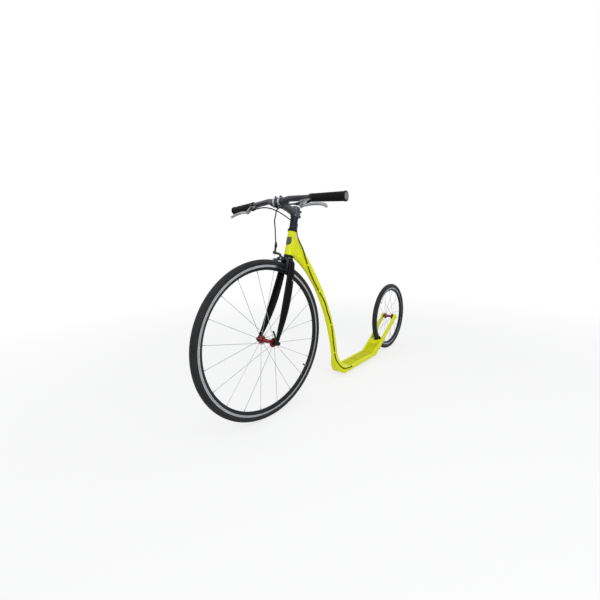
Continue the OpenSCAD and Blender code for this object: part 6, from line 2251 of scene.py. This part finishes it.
@dataclass
class Studio:
    """A pale floor, broad soft lights, a white surround and the camera."""

    eye: tuple[float, float, float] = (1342.5, 930.8, 707.5)
    target: tuple[float, float, float] = (82.3, 0.0, 359.7)
    roll: float = -0.528
    lens: float = 17.953
    shift: tuple[float, float] = (-0.0513, 0.0282)
    floor_half: float = 20.0
    fade_from: float = 0.9
    fade_to: float = 3.4
    paleness: float = 0.7
    key_power: float = 46.0
    fill_power: float = 12.0
    world: float = 0.55

    def build(self) -> None:
        """Builds the camera, the lights, the surround and the floor."""
        self.camera()
        self.lights()
        self.surround()
        self.floor()
        bpy.context.scene.view_settings.view_transform = "Standard"

    def camera(self) -> None:
        """A camera that looks from its eye to its target, rolled about its line of sight."""
        data = bpy.data.cameras.new("view")
        data.sensor_width = 36.0
        data.lens = self.lens
        data.shift_x, data.shift_y = self.shift
        data.clip_start, data.clip_end = 0.02, 60.0
        eye, target = np.array(self.eye), np.array(self.target)
        look = unit(target - eye)
        right = unit(np.cross(look, Z))
        up = np.cross(right, look)
        c, s = math.cos(math.radians(self.roll)), math.sin(math.radians(self.roll))
        right, up = c * right + s * up, c * up - s * right
        bpy.context.scene.camera = placed("view", data, right, up, -look, eye * MM)

    def lights(self) -> None:
        """Broad area lights: a key above and in front, a fill on the far side, one behind."""
        for name, place, power, size in (
            ("key", (1.6, 1.9, 2.4), self.key_power, 2.2),
            ("fill", (1.4, -2.2, 1.8), self.fill_power, 2.4),
            ("back", (-2.4, 0.6, 2.2), self.fill_power, 2.0),
        ):
            data = bpy.data.lights.new(name, "AREA")
            data.energy, data.size = power, size
            out = unit(np.array(place) - (0.0, 0.0, 0.35))
            side = unit(np.cross(Z, out))
            placed(name, data, side, np.cross(out, side), out, np.array(place))

    def surround(self) -> None:
        """White where the camera, a reflection or a clear part sees it; soft grey as light."""
        world = bpy.data.worlds.new("studio")
        bpy.context.scene.world = world
        world.use_nodes = True
        tree = world.node_tree
        tree.nodes.clear()
        path = add_node(tree, "ShaderNodeLightPath")
        through_clear = add_node(
            tree, "ShaderNodeMath", {"operation": "MAXIMUM"},
            {0: (path, "Is Glossy Ray"), 1: (path, "Is Transmission Ray")},
        )
        seen = add_node(
            tree, "ShaderNodeMath", {"operation": "MAXIMUM"},
            {0: (path, "Is Camera Ray"), 1: (through_clear, 0)},
        )
        light = add_node(tree, "ShaderNodeBackground", {"Color": linear("#F4F6F8"), "Strength": self.world})
        white = add_node(tree, "ShaderNodeBackground", {"Color": (1, 1, 1, 1), "Strength": 1.0})
        mixed = add_node(tree, "ShaderNodeMixShader", {}, {0: (seen, 0), 1: (light, 0), 2: (white, 0)})
        add_node(tree, "ShaderNodeOutputWorld", {}, {0: (mixed, 0)})

    def floor(self) -> None:
        """A plain pale floor that keeps the scooter's shadow and goes on to white beyond it."""
        mesh = bpy.data.meshes.new("floor")
        h = self.floor_half
        mesh.from_pydata(
            [(-h, -h, 0.0), (h, -h, 0.0), (h, h, 0.0), (-h, h, 0.0)], [], [(0, 1, 2, 3)]
        )
        floor = bpy.data.objects.new("floor", mesh)
        bpy.context.scene.collection.objects.link(floor)
        paint = bpy.data.materials.new("floor_paper")
        paint.use_nodes = True
        tree = paint.node_tree
        shader = tree.nodes["Principled BSDF"]
        shader.inputs["Base Color"].default_value = linear("#F4F4F4")
        shader.inputs["Roughness"].default_value = 0.9
        shader.inputs["Specular IOR Level"].default_value = 0.1
        place = add_node(tree, "ShaderNodeTexCoord")
        away = add_node(
            tree, "ShaderNodeVectorMath", {"operation": "LENGTH"}, {0: (place, "Object")}
        )
        fade = add_node(
            tree, "ShaderNodeMapRange",
            {"interpolation_type": "SMOOTHSTEP", "From Min": self.fade_from, "From Max": self.fade_to,
             "To Min": self.paleness},
            {"Value": (away, "Value")},
        )
        path = add_node(tree, "ShaderNodeLightPath")
        seen = add_node(
            tree, "ShaderNodeMath", {"operation": "MULTIPLY"},
            {0: (fade, 0), 1: (path, "Is Camera Ray")},
        )
        white = add_node(tree, "ShaderNodeEmission", {"Color": (1, 1, 1, 1), "Strength": 1.0})
        mixed = add_node(
            tree, "ShaderNodeMixShader", {}, {0: (seen, 0), 1: (shader, 0), 2: (white, 0)}
        )
        tree.links.new(mixed.outputs[0], tree.nodes["Material Output"].inputs["Surface"])
        mesh.materials.append(paint)


# ---------- The whole scooter ----------


def bare_metal(*nodes: tuple[str, Finish]) -> None:
    """Gives CAD nodes that stay in sight their finish, in every material slot.

    Args:
        nodes: Pairs of a node's name and its finish.
    """
    for name, finish in nodes:
        made = bpy.data.objects[name]
        for slot in made.material_slots:
            slot.material = finish.material()
        log.info("%s: %s", name, finish.name)


def main() -> None:
    """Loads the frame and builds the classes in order."""
    logging.basicConfig(level=logging.INFO, format="%(message)s")
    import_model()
    Studio().build()
    front = Wheel(
        "front", LAYOUT.front_axle, 338.0, 28.0, 311.0, 35.0, 100.0, 11.3, -141.7, 1060
    )
    rear = Wheel("rear", LAYOUT.rear_axle, 235.0, 32.0, 203.0, 25.0, 78.0, 15.3, 42.3, 740)
    chassis = Chassis()
    chassis.build()
    front.build()
    rear.build()
    Fork().build()
    Cockpit().build()
    Caliper(
        "front", LAYOUT.front_brake, "fork", 41.8, 29.0, 53.0, -1, (-2.0, 26.0), 49.0, 11.0, 25.0,
        311.3, 1,
    ).build()
    Caliper(
        "rear", LAYOUT.rear_brake, "frame", 47.5, 25.5, 36.0, 1, (11.0, 27.0), 39.0, 0.0, 11.25,
        204.5, -1,
    ).build()
    Cables(frame=chassis).build()
    bare_metal(
        ("headset_bearings", STEEL), ("front_bearings", STEEL), ("rear_bearings", STEEL),
        ("front_inner_tube", TRIM), ("rear_inner_tube", TRIM),
    )


if __name__ == "__main__":
    main()
